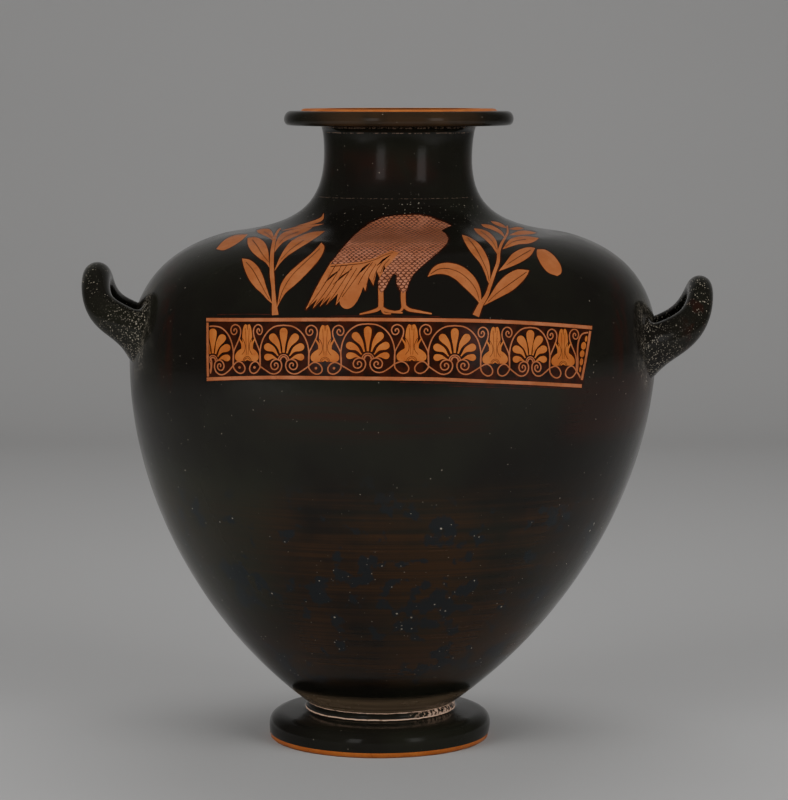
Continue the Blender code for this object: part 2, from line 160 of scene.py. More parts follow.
@dataclass(frozen=True)
class JarSizes:
    """The jar's sizes, the same as the solid's."""

    foot_height: float = 0.0178
    fillet_height: float = 0.0046
    body_rise: float = 0.2176
    shoulder_rise: float = 0.0700
    neck_rise: float = 0.0470
    collar_rise: float = 0.0170
    lip_height: float = 0.0110
    foot_radius: float = 0.0683
    foot_top_radius: float = 0.0600
    foot_band_height: float = 0.0033
    resting_ring_width: float = 0.0140
    recess_depth: float = 0.0120
    fillet_radius: float = 0.0457
    stem_radius: float = 0.0447
    belly_radius: float = 0.1600
    shoulder_radius: float = 0.1037
    neck_radius: float = 0.0449
    collar_radius: float = 0.0466
    wall: float = 0.0056
    floor_thickness: float = 0.0080
    lip_radius: float = 0.0697
    lip_band_radius: float = 0.0583
    lip_band_rise: float = 0.0014
    mouth_radius: float = 0.0500
    lip_edge: float = 0.0034
    lean: float = 0.0122
    lean_bow: float = 0.0010

    @property
    def stem_z(self) -> float:
        """Height of the top of the fillet, where the body starts."""
        return self.foot_height + self.fillet_height

    @property
    def belly_z(self) -> float:
        """Height of the widest part."""
        return self.stem_z + self.body_rise

    @property
    def shoulder_z(self) -> float:
        """Height where the shoulder turns into the hollow of the neck."""
        return self.belly_z + self.shoulder_rise

    @property
    def neck_z(self) -> float:
        """Height of the narrowest part."""
        return self.shoulder_z + self.neck_rise

    @property
    def lip_z(self) -> float:
        """Height of the underside of the lip."""
        return self.neck_z + self.collar_rise

    @property
    def top_z(self) -> float:
        """Height of the top of the lip."""
        return self.lip_z + self.lip_height

    def offset(self, height: Array) -> Array:
        """The axis's way to the right of the foot's centre: lean t + 4 bow t (1 - t), with t = z / top."""
        share = np.clip(np.asarray(height, float) / self.top_z, 0.0, 1.0)
        return self.lean * share + 4.0 * self.lean_bow * share * (1.0 - share)

    def offset_slope(self, height: Array) -> Array:
        """How fast the axis moves to the right with height: the slope of offset."""
        share = np.clip(np.asarray(height, float) / self.top_z, 0.0, 1.0)
        return (self.lean + 4.0 * self.lean_bow * (1.0 - 2.0 * share)) / self.top_z

    def body_curve(self, steps: int) -> Array:
        """The outside from stem to lip as (radius, height), in four cubic curves of so many steps each."""
        stem = (self.stem_radius, self.stem_z)
        belly = (self.belly_radius, self.belly_z)
        shoulder = (self.shoulder_radius, self.shoulder_z)
        neck = (self.neck_radius, self.neck_z)
        collar = (self.collar_radius, self.lip_z)
        out = self.belly_radius - self.stem_radius
        high_out = self.shoulder_radius + 0.20 * (self.belly_radius - self.shoulder_radius)
        throat = self.shoulder_radius - self.neck_radius
        flare = self.collar_radius - self.neck_radius
        parts = [
            cubic(
                stem,
                (self.stem_radius + 0.51 * out, self.stem_z + 0.195 * self.body_rise),
                (self.belly_radius, self.belly_z - 0.43 * self.body_rise),
                belly,
                steps,
            ),
            cubic(
                belly,
                (self.belly_radius, self.belly_z + 0.80 * self.shoulder_rise),
                (high_out, self.shoulder_z - 0.045 * self.shoulder_rise),
                shoulder,
                steps,
            ),
            cubic(
                shoulder,
                (self.shoulder_radius - 0.66 * throat, self.shoulder_z + 0.10 * self.neck_rise),
                (self.neck_radius, self.neck_z - 0.72 * self.neck_rise),
                neck,
                steps,
            ),
            cubic(
                neck,
                (self.neck_radius, self.neck_z + 0.40 * self.collar_rise),
                (self.neck_radius + 0.30 * flare, self.neck_z + 0.70 * self.collar_rise),
                collar,
                steps,
            ),
        ]
        return np.concatenate([parts[0]] + [part[1:] for part in parts[1:]])


class Wall:
    """The outside of the body as a surface: turn about the axis, and distance up the profile."""

    def __init__(self, sizes: JarSizes, foot_x: float) -> None:
        """Tabulates the profile.

        Args:
            sizes: the jar's sizes.
            foot_x: where the foot's centre stands along X.
        """
        self.sizes = sizes
        self.foot_x = foot_x
        self.curve = sizes.body_curve(160)
        self.distances = lengths_along(self.curve)
        self.rise = unit(np.gradient(self.curve, self.distances, axis=0))

    def centre_x(self, height: Array) -> Array:
        """Where the leaning axis stands along X at a height."""
        return self.foot_x + self.sizes.offset(height)

    def profile(self, distance: Array) -> tuple:
        """Radius, height and the unit direction up the profile at a distance, each read from the table."""
        radius = np.interp(distance, self.distances, self.curve[:, 0])
        height = np.interp(distance, self.distances, self.curve[:, 1])
        rise_r = np.interp(distance, self.distances, self.rise[:, 0])
        rise_z = np.interp(distance, self.distances, self.rise[:, 1])
        return radius, height, rise_r, rise_z

    def radius_at(self, height: Array) -> Array:
        """The outer radius at a height between the stem and the lip."""
        return np.interp(height, self.curve[:, 1], self.curve[:, 0])

    def distance_at(self, height: Array) -> Array:
        """The distance up the profile at a height between the stem and the lip."""
        return np.interp(height, self.curve[:, 1], self.distances)

    def place(self, turn: Array, distance: Array, depth: float = 0.0) -> Array:
        """Points of the wall: radius times (sin turn, -cos turn) about the leaning axis, sunk by depth."""
        radius, height, rise_r, rise_z = self.profile(distance)
        radius = radius - rise_z * depth
        height = height + rise_r * depth
        x = self.centre_x(height) + radius * np.sin(turn)
        return np.stack(np.broadcast_arrays(x, -radius * np.cos(turn), height), axis=-1)

    def directions(self, turn: float, distance: float) -> tuple:
        """Unit directions up the profile and around the jar at one place of the wall."""
        _, _, rise_r, rise_z = self.profile(distance)
        up = np.array([math.sin(turn) * rise_r, -math.cos(turn) * rise_r, rise_z])
        around = np.array([math.cos(turn), math.sin(turn), 0.0])
        return up, around

    def lifted(self, points: Array, skin: float) -> Array:
        """Points moved so that none lies deeper in the body than skin.

        The nearest point of the profile is found for all points at once, as the least distance to
        the profile's table; a point deeper than skin goes to that point, sunk by skin.

        Args:
            points: array (..., 3).
            skin: the greatest depth allowed.

        Returns:
            The points, of the same shape.
        """
        flat = points.reshape(-1, 3)
        across = flat[:, 0] - self.centre_x(flat[:, 2])
        radius = np.hypot(across, flat[:, 1])
        gaps = np.hypot(radius[:, None] - self.curve[:, 0], flat[:, 2, None] - self.curve[:, 1])
        near = gaps.argmin(axis=1)
        outward = np.stack([self.rise[near, 1], -self.rise[near, 0]], axis=1)
        away = np.stack([radius, flat[:, 2]], axis=1) - self.curve[near]
        height_above = (away * outward).sum(axis=1)
        moved = self.curve[near] - outward * skin
        x = self.centre_x(moved[:, 1]) + across / radius * moved[:, 0]
        y = flat[:, 1] / radius * moved[:, 0]
        sunk = np.stack([x, y, moved[:, 1]], axis=1)
        return np.where((height_above > -skin)[:, None], flat, sunk).reshape(points.shape)


@dataclass(frozen=True)
class Viewpoint:
    """Where the viewer stands, with a drawing sheet ruled 788 by 800 in front of the eye."""

    right_of_foot: float = 0.00915
    back: float = 1.822
    height: float = 0.4022
    pitch: float = math.atan(320.0 / 3000.0)
    reach: float = 3000.0
    sheet_width: float = 788.0
    sheet_height: float = 800.0
    sensor: float = 36.0
    search_front: float = 0.172
    search_back: float = 0.02
    search_steps: int = 420
    halvings: int = 24

    def eye(self, foot_x: float) -> Array:
        """The eye's place for a jar whose foot stands at foot_x."""
        return np.array([foot_x + self.right_of_foot, -self.back, self.height])

    def rays(self, sheet: Array) -> Array:
        """Directions through the sheet: forward + (u - middle) / reach right + (middle - v) / reach up."""
        across = (sheet[:, 0] - 0.5 * self.sheet_width) / self.reach
        upward = (0.5 * self.sheet_height - sheet[:, 1]) / self.reach
        forward = np.array([0.0, math.cos(self.pitch), -math.sin(self.pitch)])
        up = np.array([0.0, math.sin(self.pitch), math.cos(self.pitch)])
        right = np.array([1.0, 0.0, 0.0])
        return forward + across[:, None] * right + upward[:, None] * up

    def thrown(self, sheet: Array, wall: Wall) -> Array:
        """Points of the sheet thrown along the eye's rays onto the front of the wall.

        Each ray is stepped through the jar's depth until it is first inside the wall, and that step
        is then halved again and again. A ray that misses takes the step that comes nearest.

        Args:
            sheet: array (n, 2) of points on the sheet.
            wall: the jar's wall.

        Returns:
            Array (n, 2) of turn and distance up the profile.
        """
        eye = self.eye(wall.foot_x)
        rays = self.rays(sheet)
        rays = rays / rays[:, 1:2]

        def outside(depth: Array) -> Array:
            """How far outside the wall the rays are at a depth along Y."""
            x = eye[0] + rays[:, 0:1] * depth
            y = eye[1] + depth
            z = eye[2] + rays[:, 2:3] * depth
            return np.hypot(x - wall.centre_x(z), y) - wall.radius_at(z)

        front, back = self.back - self.search_front, self.back + self.search_back
        steps = np.linspace(front, back, self.search_steps)[None, :]
        gaps = outside(steps)
        inside = gaps <= 0.0
        hit = inside.any(axis=1)
        first = np.where(hit, inside.argmax(axis=1), gaps.argmin(axis=1))
        low = steps[0, np.maximum(first - 1, 0)]
        high = steps[0, first]
        for _ in range(self.halvings):
            middle = 0.5 * (low + high)
            is_out = outside(middle[:, None])[:, 0] > 0.0
            low = np.where(is_out, middle, low)
            high = np.where(is_out, high, middle)
        depth = np.where(hit, high, steps[0, first])
        x = eye[0] + rays[:, 0] * depth
        y = eye[1] + depth
        z = eye[2] + rays[:, 2] * depth
        return np.stack([np.arctan2(x - wall.centre_x(z), -y), wall.distance_at(z)], axis=1)


@dataclass
class Patch:
    """A closed outline on the drawing sheet and the finish inside it."""

    outline: Array
    finish: Finish


def smooth_line(points: list, spacing: float = 1.0, closed: bool = False) -> Array:
    """A smooth line through points: cubic pieces whose slopes are half the chord between the neighbours.

    Args:
        points: places to pass through.
        spacing: distance between the points of the result.
        closed: whether the line runs back to its start.

    Returns:
        Array (n, 2).
    """
    p = np.asarray(points, float)
    if closed:
        p = np.concatenate([p[-1:], p, p[:2]])
    else:
        p = np.concatenate([2 * p[:1] - p[1:2], p, 2 * p[-1:] - p[-2:-1]])
    pieces = []
    for before, start, end, after in zip(p, p[1:], p[2:], p[3:]):
        piece = cubic(start, start + (end - before) / 6.0, end - (after - start) / 6.0, end, 10)
        pieces.append(piece[:-1])
    pieces.append(p[-2:-1])
    return resampled(np.concatenate(pieces), spacing)


def sides_of(line: Array, half_widths: Array) -> Array:
    """The outline of a stroke: the line moved to both sides by its half widths, square to its direction."""
    along = np.gradient(line, axis=0)
    along /= np.maximum(np.linalg.norm(along, axis=1), 1e-9)[:, None]
    square = np.stack([-along[:, 1], along[:, 0]], axis=1) * half_widths[:, None]
    return np.concatenate([line + square, (line - square)[::-1]])


class Drawing:
    """The painter's work, laid down in order: each later patch covers the earlier ones."""

    spacing = 0.9
    straight_spacing = 1.2

    def __init__(self) -> None:
        """Starts with an empty sheet."""
        self.patches: list = []

    def fill(self, points: list, finish: Finish) -> None:
        """A closed area, smooth through its points."""
        self.patches.append(Patch(smooth_line(points, self.spacing, closed=True)[:-1], finish))

    def corners(self, points: list, finish: Finish) -> None:
        """A closed area whose every given corner is kept, with points between them on the straight sides."""
        corners = np.asarray(points, float)
        pairs = zip(corners, np.roll(corners, -1, axis=0))
        sides = [resampled(np.stack(pair), self.straight_spacing)[:-1] for pair in pairs]
        self.patches.append(Patch(np.concatenate(sides), finish))

    def stroke(self, points: list, width: float, finish: Finish, end_width: float | None = None) -> None:
        """A line through points with blunt ends, its width going evenly from one size to another."""
        line = smooth_line(points, self.spacing)
        widths = np.linspace(width, width if end_width is None else end_width, len(line))
        self.patches.append(Patch(sides_of(line, 0.5 * widths), finish))

    def disc(self, centre: tuple, radii: tuple, finish: Finish, tilt: float = 0.0) -> None:
        """A filled oval, turned by tilt."""
        t = np.linspace(0.0, 2.0 * math.pi, 20, endpoint=False)
        x, y = radii[0] * np.cos(t), radii[1] * np.sin(t)
        cos, sin = math.cos(tilt), math.sin(tilt)
        turned = np.stack([x * cos - y * sin, x * sin + y * cos], axis=1)
        self.patches.append(Patch(np.asarray(centre) + turned, finish))

    def blade(self, upper: tuple, lower: tuple, finish: Finish) -> None:
        """An area between two smooth edges that meet in points at both ends."""
        outline = np.concatenate([smooth_line(upper), smooth_line(lower)[::-1][1:-1]])
        self.patches.append(Patch(outline, finish))


@dataclass(frozen=True)
class Motif:
    """A flower of the frieze between two crossings of the running line, each half as wide as its gap."""

    centre: float
    base: float
    left: tuple
    right: tuple

    full_half: ClassVar[float] = 1.0
    line_width: ClassVar[float] = 1.3
    relief_width: ClassVar[float] = 0.6

    def crossing(self, side: float) -> tuple:
        """Where the running line crosses at a side."""
        return self.left if side < 0.0 else self.right

    def scale(self, side: float) -> float:
        """How much narrower a side is than a full one: its gap over the full half width."""
        return abs(self.crossing(side)[0] - self.centre) / self.full_half

    def placed(self, points: tuple, side: float = 1.0) -> list:
        """Points of a full right half, moved to the sheet and narrowed with their side."""
        narrowed = [side * x * self.scale(side if x >= 0.0 else -side) for x, _ in points]
        return [(self.centre + x, self.base + y) for x, (_, y) in zip(narrowed, points)]

    def run(self, sheet: Drawing, points: tuple, side: float) -> None:
        """Draws a stretch of the running line that starts at a crossing."""
        line = [self.crossing(side)] + self.placed(points, side)
        sheet.stroke(line, self.line_width, Finish.TENDRIL)


@dataclass(frozen=True)
class Palmette(Motif):
    """A fan of seven petals under an arch, over two curls of the running line."""

    full_half: ClassVar[float] = 26.6
    petals: ClassVar[tuple] = (
        ((3.4, -6.4), (6.7, -15.2), (12.2, -22.3), 0.8, 3.9),
        ((6.3, -3.8), (11.4, -9.8), (18, -12.6), 0.65, 3.8),
        ((7.6, -0.6), (13, -2.7), (18.3, -2.5), 0.55, 3.4),
    )
    arch: ClassVar[tuple] = (
        (27, -3), (26.7, -9), (25.2, -16), (22, -23), (16.8, -29), (9.4, -33.2), (0, -34.4),
    )
    curl: ClassVar[tuple] = (
        (20.8, 10.4), (14.4, 13.9), (8.8, 14), (4.2, 11.2), (2.2, 6.2), (3.6, 1.6), (8.2, -0.2), (12.6, 1.4),
        (14.6, 5.2), (13.2, 9), (9.6, 9.9), (6.5, 7.7), (6.6, 4.5), (9, 3.3), (10.5, 4.9), (9.7, 6.6),
    )

    def draw(self, sheet: Drawing) -> None:
        """Draws the arch, the petals, the heart's arcs over its dark core, and the curls."""
        for side in SIDES:
            self.run(sheet, self.arch, side)
        self.petal(sheet, self.placed(((0, -7), (0, -18), (0, -27.9))), 1.1, 3.9)
        for side in SIDES:
            for foot, middle, end, neck, size in self.petals:
                self.petal(sheet, self.placed((foot, middle, end), side), neck, size)
        k = 0.5 * (self.scale(-1) + self.scale(1))
        heart = (self.centre, self.base + 0.4)
        for across, tall, finish in (
            (7, 6.6, Finish.EDGE),
            (6.3, 5.9, Finish.TENDRIL),
            (5.1, 4.8, Finish.EDGE),
            (4.4, 4.1, Finish.TENDRIL),
            (2.6, 2.7, Finish.EDGE),
        ):
            sheet.disc(heart, (across * k, tall), finish)
        sheet.corners(self.placed(((-7.4, 0.6), (7.4, 0.6), (7.4, 8), (-7.4, 8))), Finish.EDGE)
        for side in SIDES:
            self.run(sheet, self.curl, side)

    def petal(self, sheet: Drawing, points: list, neck: float, size: float) -> None:
        """A drop along a line with a round end: its half width goes from neck to size as 3 t^2 - 2 t^3."""
        line = smooth_line(points)
        direction = (line[-1] - line[-2]) / np.linalg.norm(line[-1] - line[-2])
        t = np.linspace(0, 1, len(line))
        sides = sides_of(line, neck + (size - neck) * (3.0 * t * t - 2.0 * t**3) ** 1.15)
        fan = np.linspace(0, math.pi, 10)[1:-1]
        square = np.array([-direction[1], direction[0]])
        cap = line[-1] + size * (np.cos(fan)[:, None] * square + np.sin(fan)[:, None] * direction)
        outline = np.concatenate([sides[: len(line)], cap, sides[len(line) :]])
        sheet.patches.append(Patch(outline, Finish.CLAY))


@dataclass(frozen=True)
class Lotus(Motif):
    """A closed lotus flower over two loops of the running line, between two curls on stalks."""

    full_half: ClassVar[float] = 17.0
    loop: ClassVar[tuple] = (
        (13.4, 1.2), (9.6, 0.4), (5.6, 2.4), (3, 6.4), (4, 10.4), (8.2, 12.2), (12.8, 10.6), (16.2, 7),
    )
    stalk: ClassVar[tuple] = (
        (17, -4), (16.4, -9), (15, -12.6), (11.6, -19), (8.8, -25), (8, -30.4), (9.8, -34.6),
        (14, -36.6), (18.2, -35), (19.8, -31), (18, -27.2), (14.6, -27), (12.6, -29.8),
        (14, -32.6), (16.2, -31.4), (15.8, -29.8),
    )
    flower: ClassVar[tuple] = (
        (0.9, -36.3), (2.6, -37), (4.2, -35.2), (5.4, -31.2), (6.1, -26.6), (6.2, -22.4), (5.5, -18.4),
        (5.5, -15.6), (7.2, -12.8), (10.8, -10.6), (13.8, -7.6), (14.9, -4.6), (14, -1.6), (10.8, 0),
        (6, -0.2),
    )
    outer_petal: ClassVar[tuple] = ((10.2, -23.4), (8.2, -20.2), (6, -16.8), (5.4, -13.2))
    inner_line: ClassVar[tuple] = ((6.4, -23.4), (4.2, -20.2), (2.6, -15.6), (3.3, -10.6), (6.4, -6.6))
    middle_line: ClassVar[tuple] = ((2.4, -33), (1.9, -24), (1.5, -15), (1, -6.4))
    base_arc: ClassVar[tuple] = ((-1, 0.1), (-0.74, -0.66), (0, -1), (0.74, -0.66), (1, 0.1))
    dotted: bool = False

    def draw(self, sheet: Drawing) -> None:
        """Draws the loops, the stalks with their curls, the flower, its inner lines and the base's arcs."""
        for side in SIDES:
            crossing = [self.crossing(side)]
            loop = crossing + self.placed(self.loop, side) + crossing
            sheet.stroke(loop, self.line_width, Finish.TENDRIL)
            if self.dotted:
                sheet.disc(self.placed(((9.4, 6.2),), side)[0], (1.3, 1.3), Finish.TENDRIL)
            sheet.stroke(crossing + self.placed(self.stalk, side), 1.25, Finish.TENDRIL)
        outline = self.placed(self.flower) + self.placed(self.flower, -1)[::-1]
        sheet.fill(outline, Finish.CLAY)
        for side in SIDES:
            sheet.stroke(self.placed(self.outer_petal, side), 0.9, Finish.CLAY, 3)
            sheet.stroke(self.placed(self.inner_line, side), self.relief_width, Finish.RELIEF)
            sheet.stroke(self.placed(self.middle_line, side), 0.45, Finish.RELIEF)
        sheet.stroke(self.placed(((0, -36.6), (0.2, -31))), 0.9, Finish.RELIEF, 0.4)
        for size in (5.4, 3.9):
            arc = [(x * size, y * size + 0.6) for x, y in self.base_arc]
            sheet.stroke(self.placed(arc), self.relief_width, Finish.RELIEF)
        core = (self.centre, self.base + 1.4)
        sheet.disc(core, (2.2, 2.6), Finish.EDGE)
        sheet.corners(self.placed(((-1.8, 1.2), (1.8, 1.2), (1.2, 6.4), (-1.2, 6.4))), Finish.EDGE)


@dataclass(frozen=True)
class Frieze:
    """The band of palmettes and lotus flowers on one running line, between two lines and two posts."""

    crossings: tuple = (
        (192, 366),
        (233.2, 365.6),
        (260.2, 366.4),
        (308.6, 366.2),
        (341.2, 365.2),
        (394.4, 364),
        (428.6, 366.2),
        (480.6, 366.8),
        (509.6, 368.4),
        (549.6, 368.2),
        (576.4, 371.2),
    )
    palmettes: tuple = ((212.8, 360.4), (283.6, 359.6), (367.8, 358.2), (454.8, 360), (530.3, 361.8))
    lotuses: tuple = (
        (247.4, 361.2, True),
        (325, 362, True),
        (411.8, 361.2, False),
        (495.2, 363.8, False),
        (563.2, 365.8, False),
    )
    ground: tuple = (
        (206, 318), (400, 318), (500, 320), (592, 326.4), (583, 387), (400, 380), (206, 380),
    )
    top: tuple = (
        (206.2, 319.7), (250, 319.8), (300, 319.6), (350, 319.5), (400, 319.7), (450, 320.2),
        (500, 321.6), (550, 324.4), (592.2, 327.7),
    )
    bottom: tuple = (
        (206.6, 379.2), (240, 378), (280, 377.5), (340, 378.1), (400, 378.7), (440, 379.3),
        (480, 381.1), (530, 383.2), (581.8, 386),
    )
    sliver: tuple = ((577.2, 371.4), (577.9, 362), (577.5, 352), (578.6, 341), (582.4, 334), (590, 332.2))
    sliver_petals: tuple = (
        (586.2, 338.8, 1.2, 3),
        (583.6, 345.8, 2.5, 3.9),
        (582.2, 353.8, 2.3, 3.6),
        (581.4, 361.8, 1.7, 3.6),
        (580.2, 369.4, 1, 2.9),
    )

    def draw(self, sheet: Drawing) -> None:
        """Draws the dark ground, the flowers, the left end's cover, and last the lines and posts."""
        sheet.corners(self.ground, Finish.EDGE)
        gaps = list(zip(self.crossings, self.crossings[1:]))
        for (centre, base), gap in zip(self.palmettes, gaps[::2]):
            Palmette(centre, base, *gap).draw(sheet)
        for (centre, base, dotted), gap in zip(self.lotuses, gaps[1::2]):
            Lotus(centre, base, *gap, dotted).draw(sheet)
        self.ends(sheet)
        for line in (self.top, self.bottom):
            sheet.stroke(line, 5.2, Finish.EDGE)
            sheet.stroke(line, 3.5, Finish.TENDRIL)
        for points, width in (
            (((400, 382.4), (450, 383.4), (520, 386), (570, 388.6)), 1),
            (((448, 386), (490, 387.2), (530, 389)), 0.9),
            (((330, 316.2), (372, 315.8), (440, 316.6)), 0.9),
            (((217, 314.8), (246, 314.2), (270, 314.6)), 0.9),
        ):
            sheet.stroke(points, width, Finish.DILUTE)

    def ends(self, sheet: Drawing) -> None:
        """Covers what runs past the left post, and draws the right end's cut palmette and both posts."""
        sheet.corners([(182, 310), (209.4, 316), (209.4, 382), (182, 390)], Finish.GLOSS)
        sheet.stroke([(209, 357), (211.6, 361), (211.4, 368), (210.4, 373.6)], 1.2, Finish.TENDRIL)
        sheet.stroke(self.sliver, 1.5, Finish.TENDRIL)
        sheet.stroke([self.crossings[-1], (579, 375), (581.4, 379.6)], 1.5, Finish.TENDRIL)
        for x, y, wide, tall in self.sliver_petals:
            sheet.disc((x, y), (wide, tall), Finish.CLAY, 0.12)
        for post in (
            [(207.5, 322.6), (207.6, 340), (207.6, 360), (208, 376.6)],
            [(590.2, 331), (588.2, 345), (585.6, 360), (581.8, 380)],
        ):
            sheet.stroke(post, 3.6, Finish.EDGE)
            sheet.stroke(post, 2.2, Finish.TENDRIL)


@dataclass(frozen=True)
class Leaf:
    """A leaf: the points of its upper and its lower edge between the tip and the base, and its rib."""

    tip: tuple
    base: tuple
    upper: tuple
    lower: tuple
    rib: tuple = ()

    def edges(self) -> list:
        """Both edges, from the tip to the base."""
        return [(self.tip, *inner, self.base) for inner in (self.upper, self.lower)]


@dataclass(frozen=True)
class Spray:
    """A laurel spray: its stem with its widths from the foot up, and its leaves."""

    stem: tuple
    stem_widths: tuple
    leaves: tuple
    edge: float = 2.8
    rib_width: float = 0.85
    rib_end_width: float = 0.6

    def draw(self, sheet: Drawing) -> None:
        """Draws the thin dark edge of every part first, and the parts over it."""
        line = smooth_line(self.stem)
        knots = np.linspace(0.0, 1.0, len(self.stem_widths))
        widths = np.interp(np.linspace(0.0, 1.0, len(line)), knots, self.stem_widths)
        sheet.patches.append(Patch(sides_of(line, 0.5 * (widths + self.edge)), Finish.EDGE))
        for leaf in self.leaves:
            for side in leaf.edges():
                sheet.stroke(side, self.edge, Finish.EDGE, 0.5 * self.edge)
        sheet.patches.append(Patch(sides_of(line, 0.5 * widths), Finish.LEAF))
        for leaf in self.leaves:
            sheet.blade(*leaf.edges(), Finish.LEAF)
            if leaf.rib:
                sheet.stroke(leaf.rib, self.rib_width, Finish.RELIEF, self.rib_end_width)


LEFT_SPRAY = Spray(
    stem=(
        (275.2, 315), (274.2, 303), (273.2, 288), (271.8, 271), (272, 255), (274, 241), (277.4, 232),
        (280.6, 228.4),
    ),
    stem_widths=(6.6, 4.4, 3.4, 4.4, 4, 3.8, 3, 1.4),
    leaves=(
        Leaf(
            (242, 258.4), (272.6, 304),
            ((250, 260), (257.6, 266.4), (262.8, 276), (266.6, 288), (270, 298)),
            ((244.2, 268), (249, 279), (255.4, 287.6), (262, 293.6), (267.4, 299.6)),
            ((246, 262), (252.4, 269.4), (259, 280.8), (265, 292), (269.4, 299.6)),
        ),
        Leaf(
            (321.4, 242.6), (276.6, 309),
            ((313, 252), (300, 263), (288, 274), (280.8, 285), (278.6, 297)),
            ((324.4, 247.4), (320.4, 257.6), (310, 270), (297, 283), (286, 292.6), (280, 301.6)),
            ((320, 248.4), (305.6, 262), (292.4, 275), (283.4, 289), (279, 302)),
        ),
        Leaf(
            (247.6, 238), (269.6, 268),
            ((255.6, 237.2), (263.6, 241.4), (268, 250), (268.8, 260)),
            ((247.8, 244.2), (251.6, 251.2), (259, 258), (265.4, 262.4)),
            ((252.4, 239.6), (258, 247.2), (262.6, 254.6), (268.6, 262)),
        ),
        Leaf(
            (325, 231), (274, 271.6),
            ((314, 231.8), (302, 235.2), (291, 241.4), (284, 250), (278.6, 260)),
            ((317, 237), (308, 242.8), (297, 249.6), (287, 256.4), (280, 263.6)),
            ((304, 240), (291, 249.2), (281, 259.4)),
        ),
        Leaf(
            (312.4, 227.4), (274.4, 252.4),
            ((302, 228), (290, 230.2), (281.4, 234), (276.6, 241)),
            ((307, 231.2), (297.6, 235.4), (285.6, 240.8), (279.4, 246)),
            ((299, 231.6), (286, 236.6), (279, 243.2)),
        ),
        Leaf(
            (256.4, 230.4), (273.4, 241.4),
            ((263, 228.8), (270, 229.6), (273.4, 235.6)),
            ((259, 233), (266, 236.2), (270.8, 239)),
            ((264, 231.6), (269, 235), (272.6, 239)),
        ),
        Leaf(
            (324, 223.8), (280.6, 231),
            ((310, 224.6), (296, 226.6)),
            ((313, 226.8), (298, 228.4)),
        ),
        Leaf(
            (323.8, 212.8), (296, 226),
            ((320.4, 217.6), (311, 221.4)),
            ((322.8, 219.8), (313, 224)),
        ),
        Leaf(
            (216.2, 249), (247.8, 234.4),
            ((224, 240.4), (235, 235.2)),
            ((223, 250.2), (231, 247), (240.4, 241.2)),
        ),
    ),
)
RIGHT_SPRAY = Spray(
    stem=(
        (475.8, 315.8), (480.6, 305), (486.8, 295), (490.2, 285), (494.4, 272.6), (498, 262),
        (498.9, 252), (501.2, 244.6), (504.8, 238), (507.6, 232.4), (507.2, 225.6),
    ),
    stem_widths=(6.8, 5.2, 4.2, 3.2, 3.4, 3.3, 3.4, 3, 2.6, 2, 1.5),
    leaves=(
        Leaf(
            (427.6, 276.8), (480.6, 305),
            (
                (431.4, 269.6), (437.6, 264.6), (446.4, 262.8), (457, 264.4), (466.4, 269.2),
                (474.4, 277.2), (479.4, 286.6), (481.2, 296),
            ),
            ((436, 274.2), (446, 274.6), (455, 279), (462.4, 285.6), (469.4, 292.2), (475.6, 298.6)),
            (
                (430.6, 274), (438.4, 269.3), (448.4, 268.6), (460, 272.8), (470, 281.2), (476.4, 290.6),
                (479.4, 300.6),
            ),
        ),
        Leaf(
            (529.2, 270.2), (483.6, 305.6),
            ((517.4, 269.6), (506.4, 275), (497.4, 284), (490.4, 295)),
            ((526.8, 275.6), (521.2, 282.6), (512, 290.6), (500.4, 297)),
            ((526.6, 272), (512.4, 282), (498.4, 292.2), (488, 301.6)),
        ),
        Leaf(
            (461.8, 234.6), (490, 284.6),
            ((469.6, 237.4), (478.2, 243.2), (484.8, 252.2), (489.2, 263.2), (490.2, 274)),
            ((464.8, 242.2), (471, 252.2), (480, 263.2), (485, 273.2), (487.6, 281)),
            ((467.6, 237.4), (475.8, 248.4), (482, 259.8), (487, 271.2), (489.2, 281)),
        ),
        Leaf(
            (535.2, 248), (498.6, 271.2),
            ((528.6, 247.2), (520, 249.4), (512, 254.2), (505, 263.2)),
            ((533, 252.2), (529.6, 256.4), (522, 261.6), (512, 266.2)),
            ((530.8, 250), (518.2, 257.2), (506.4, 265)),
        ),
        Leaf(
            (473.8, 228.4), (498, 255.4),
            ((482.2, 229.4), (490.2, 233.4), (496, 240.4), (497.6, 248)),
            ((476.4, 232.4), (484, 238.6), (491, 245.2), (495, 251)),
            ((480.6, 231), (488.4, 237), (493.6, 243.4), (496.6, 249.4)),
        ),
        Leaf(
            (539, 238), (502.4, 249.4),
            ((527.2, 236.2), (517.2, 236.7), (509.2, 240)),
            ((535, 241.2), (528.2, 243.5), (518, 244.4)),
            ((526, 239.2), (514, 241.4), (505.6, 246.6)),
        ),
        Leaf(
            (481, 224.2), (505, 237.6),
            ((490, 224.8), (498, 228.6), (502.6, 232.4)),
            ((484, 227), (491, 229.2), (498.6, 232.8)),
        ),
        Leaf(
            (537, 233), (508.4, 235.4),
            ((529, 231), (519, 231)),
            ((529, 234.2), (519, 235)),
        ),
        Leaf(
            (490.6, 221), (507.4, 228.4),
            ((498, 222.2), (503.6, 225)),
            ((493.4, 223.6), (500.6, 226.8)),
        ),
        Leaf(
            (524, 228.4), (508.6, 229),
            ((517, 227),),
            ((517, 230),),
        ),
        Leaf(
            (537, 249.4), (557.2, 276),
            ((545.4, 249.8), (553.8, 255.6), (560.6, 265.4), (561.2, 273)),
            ((537, 255.4), (541.2, 264.4), (548, 272.4)),
        ),
    ),
)


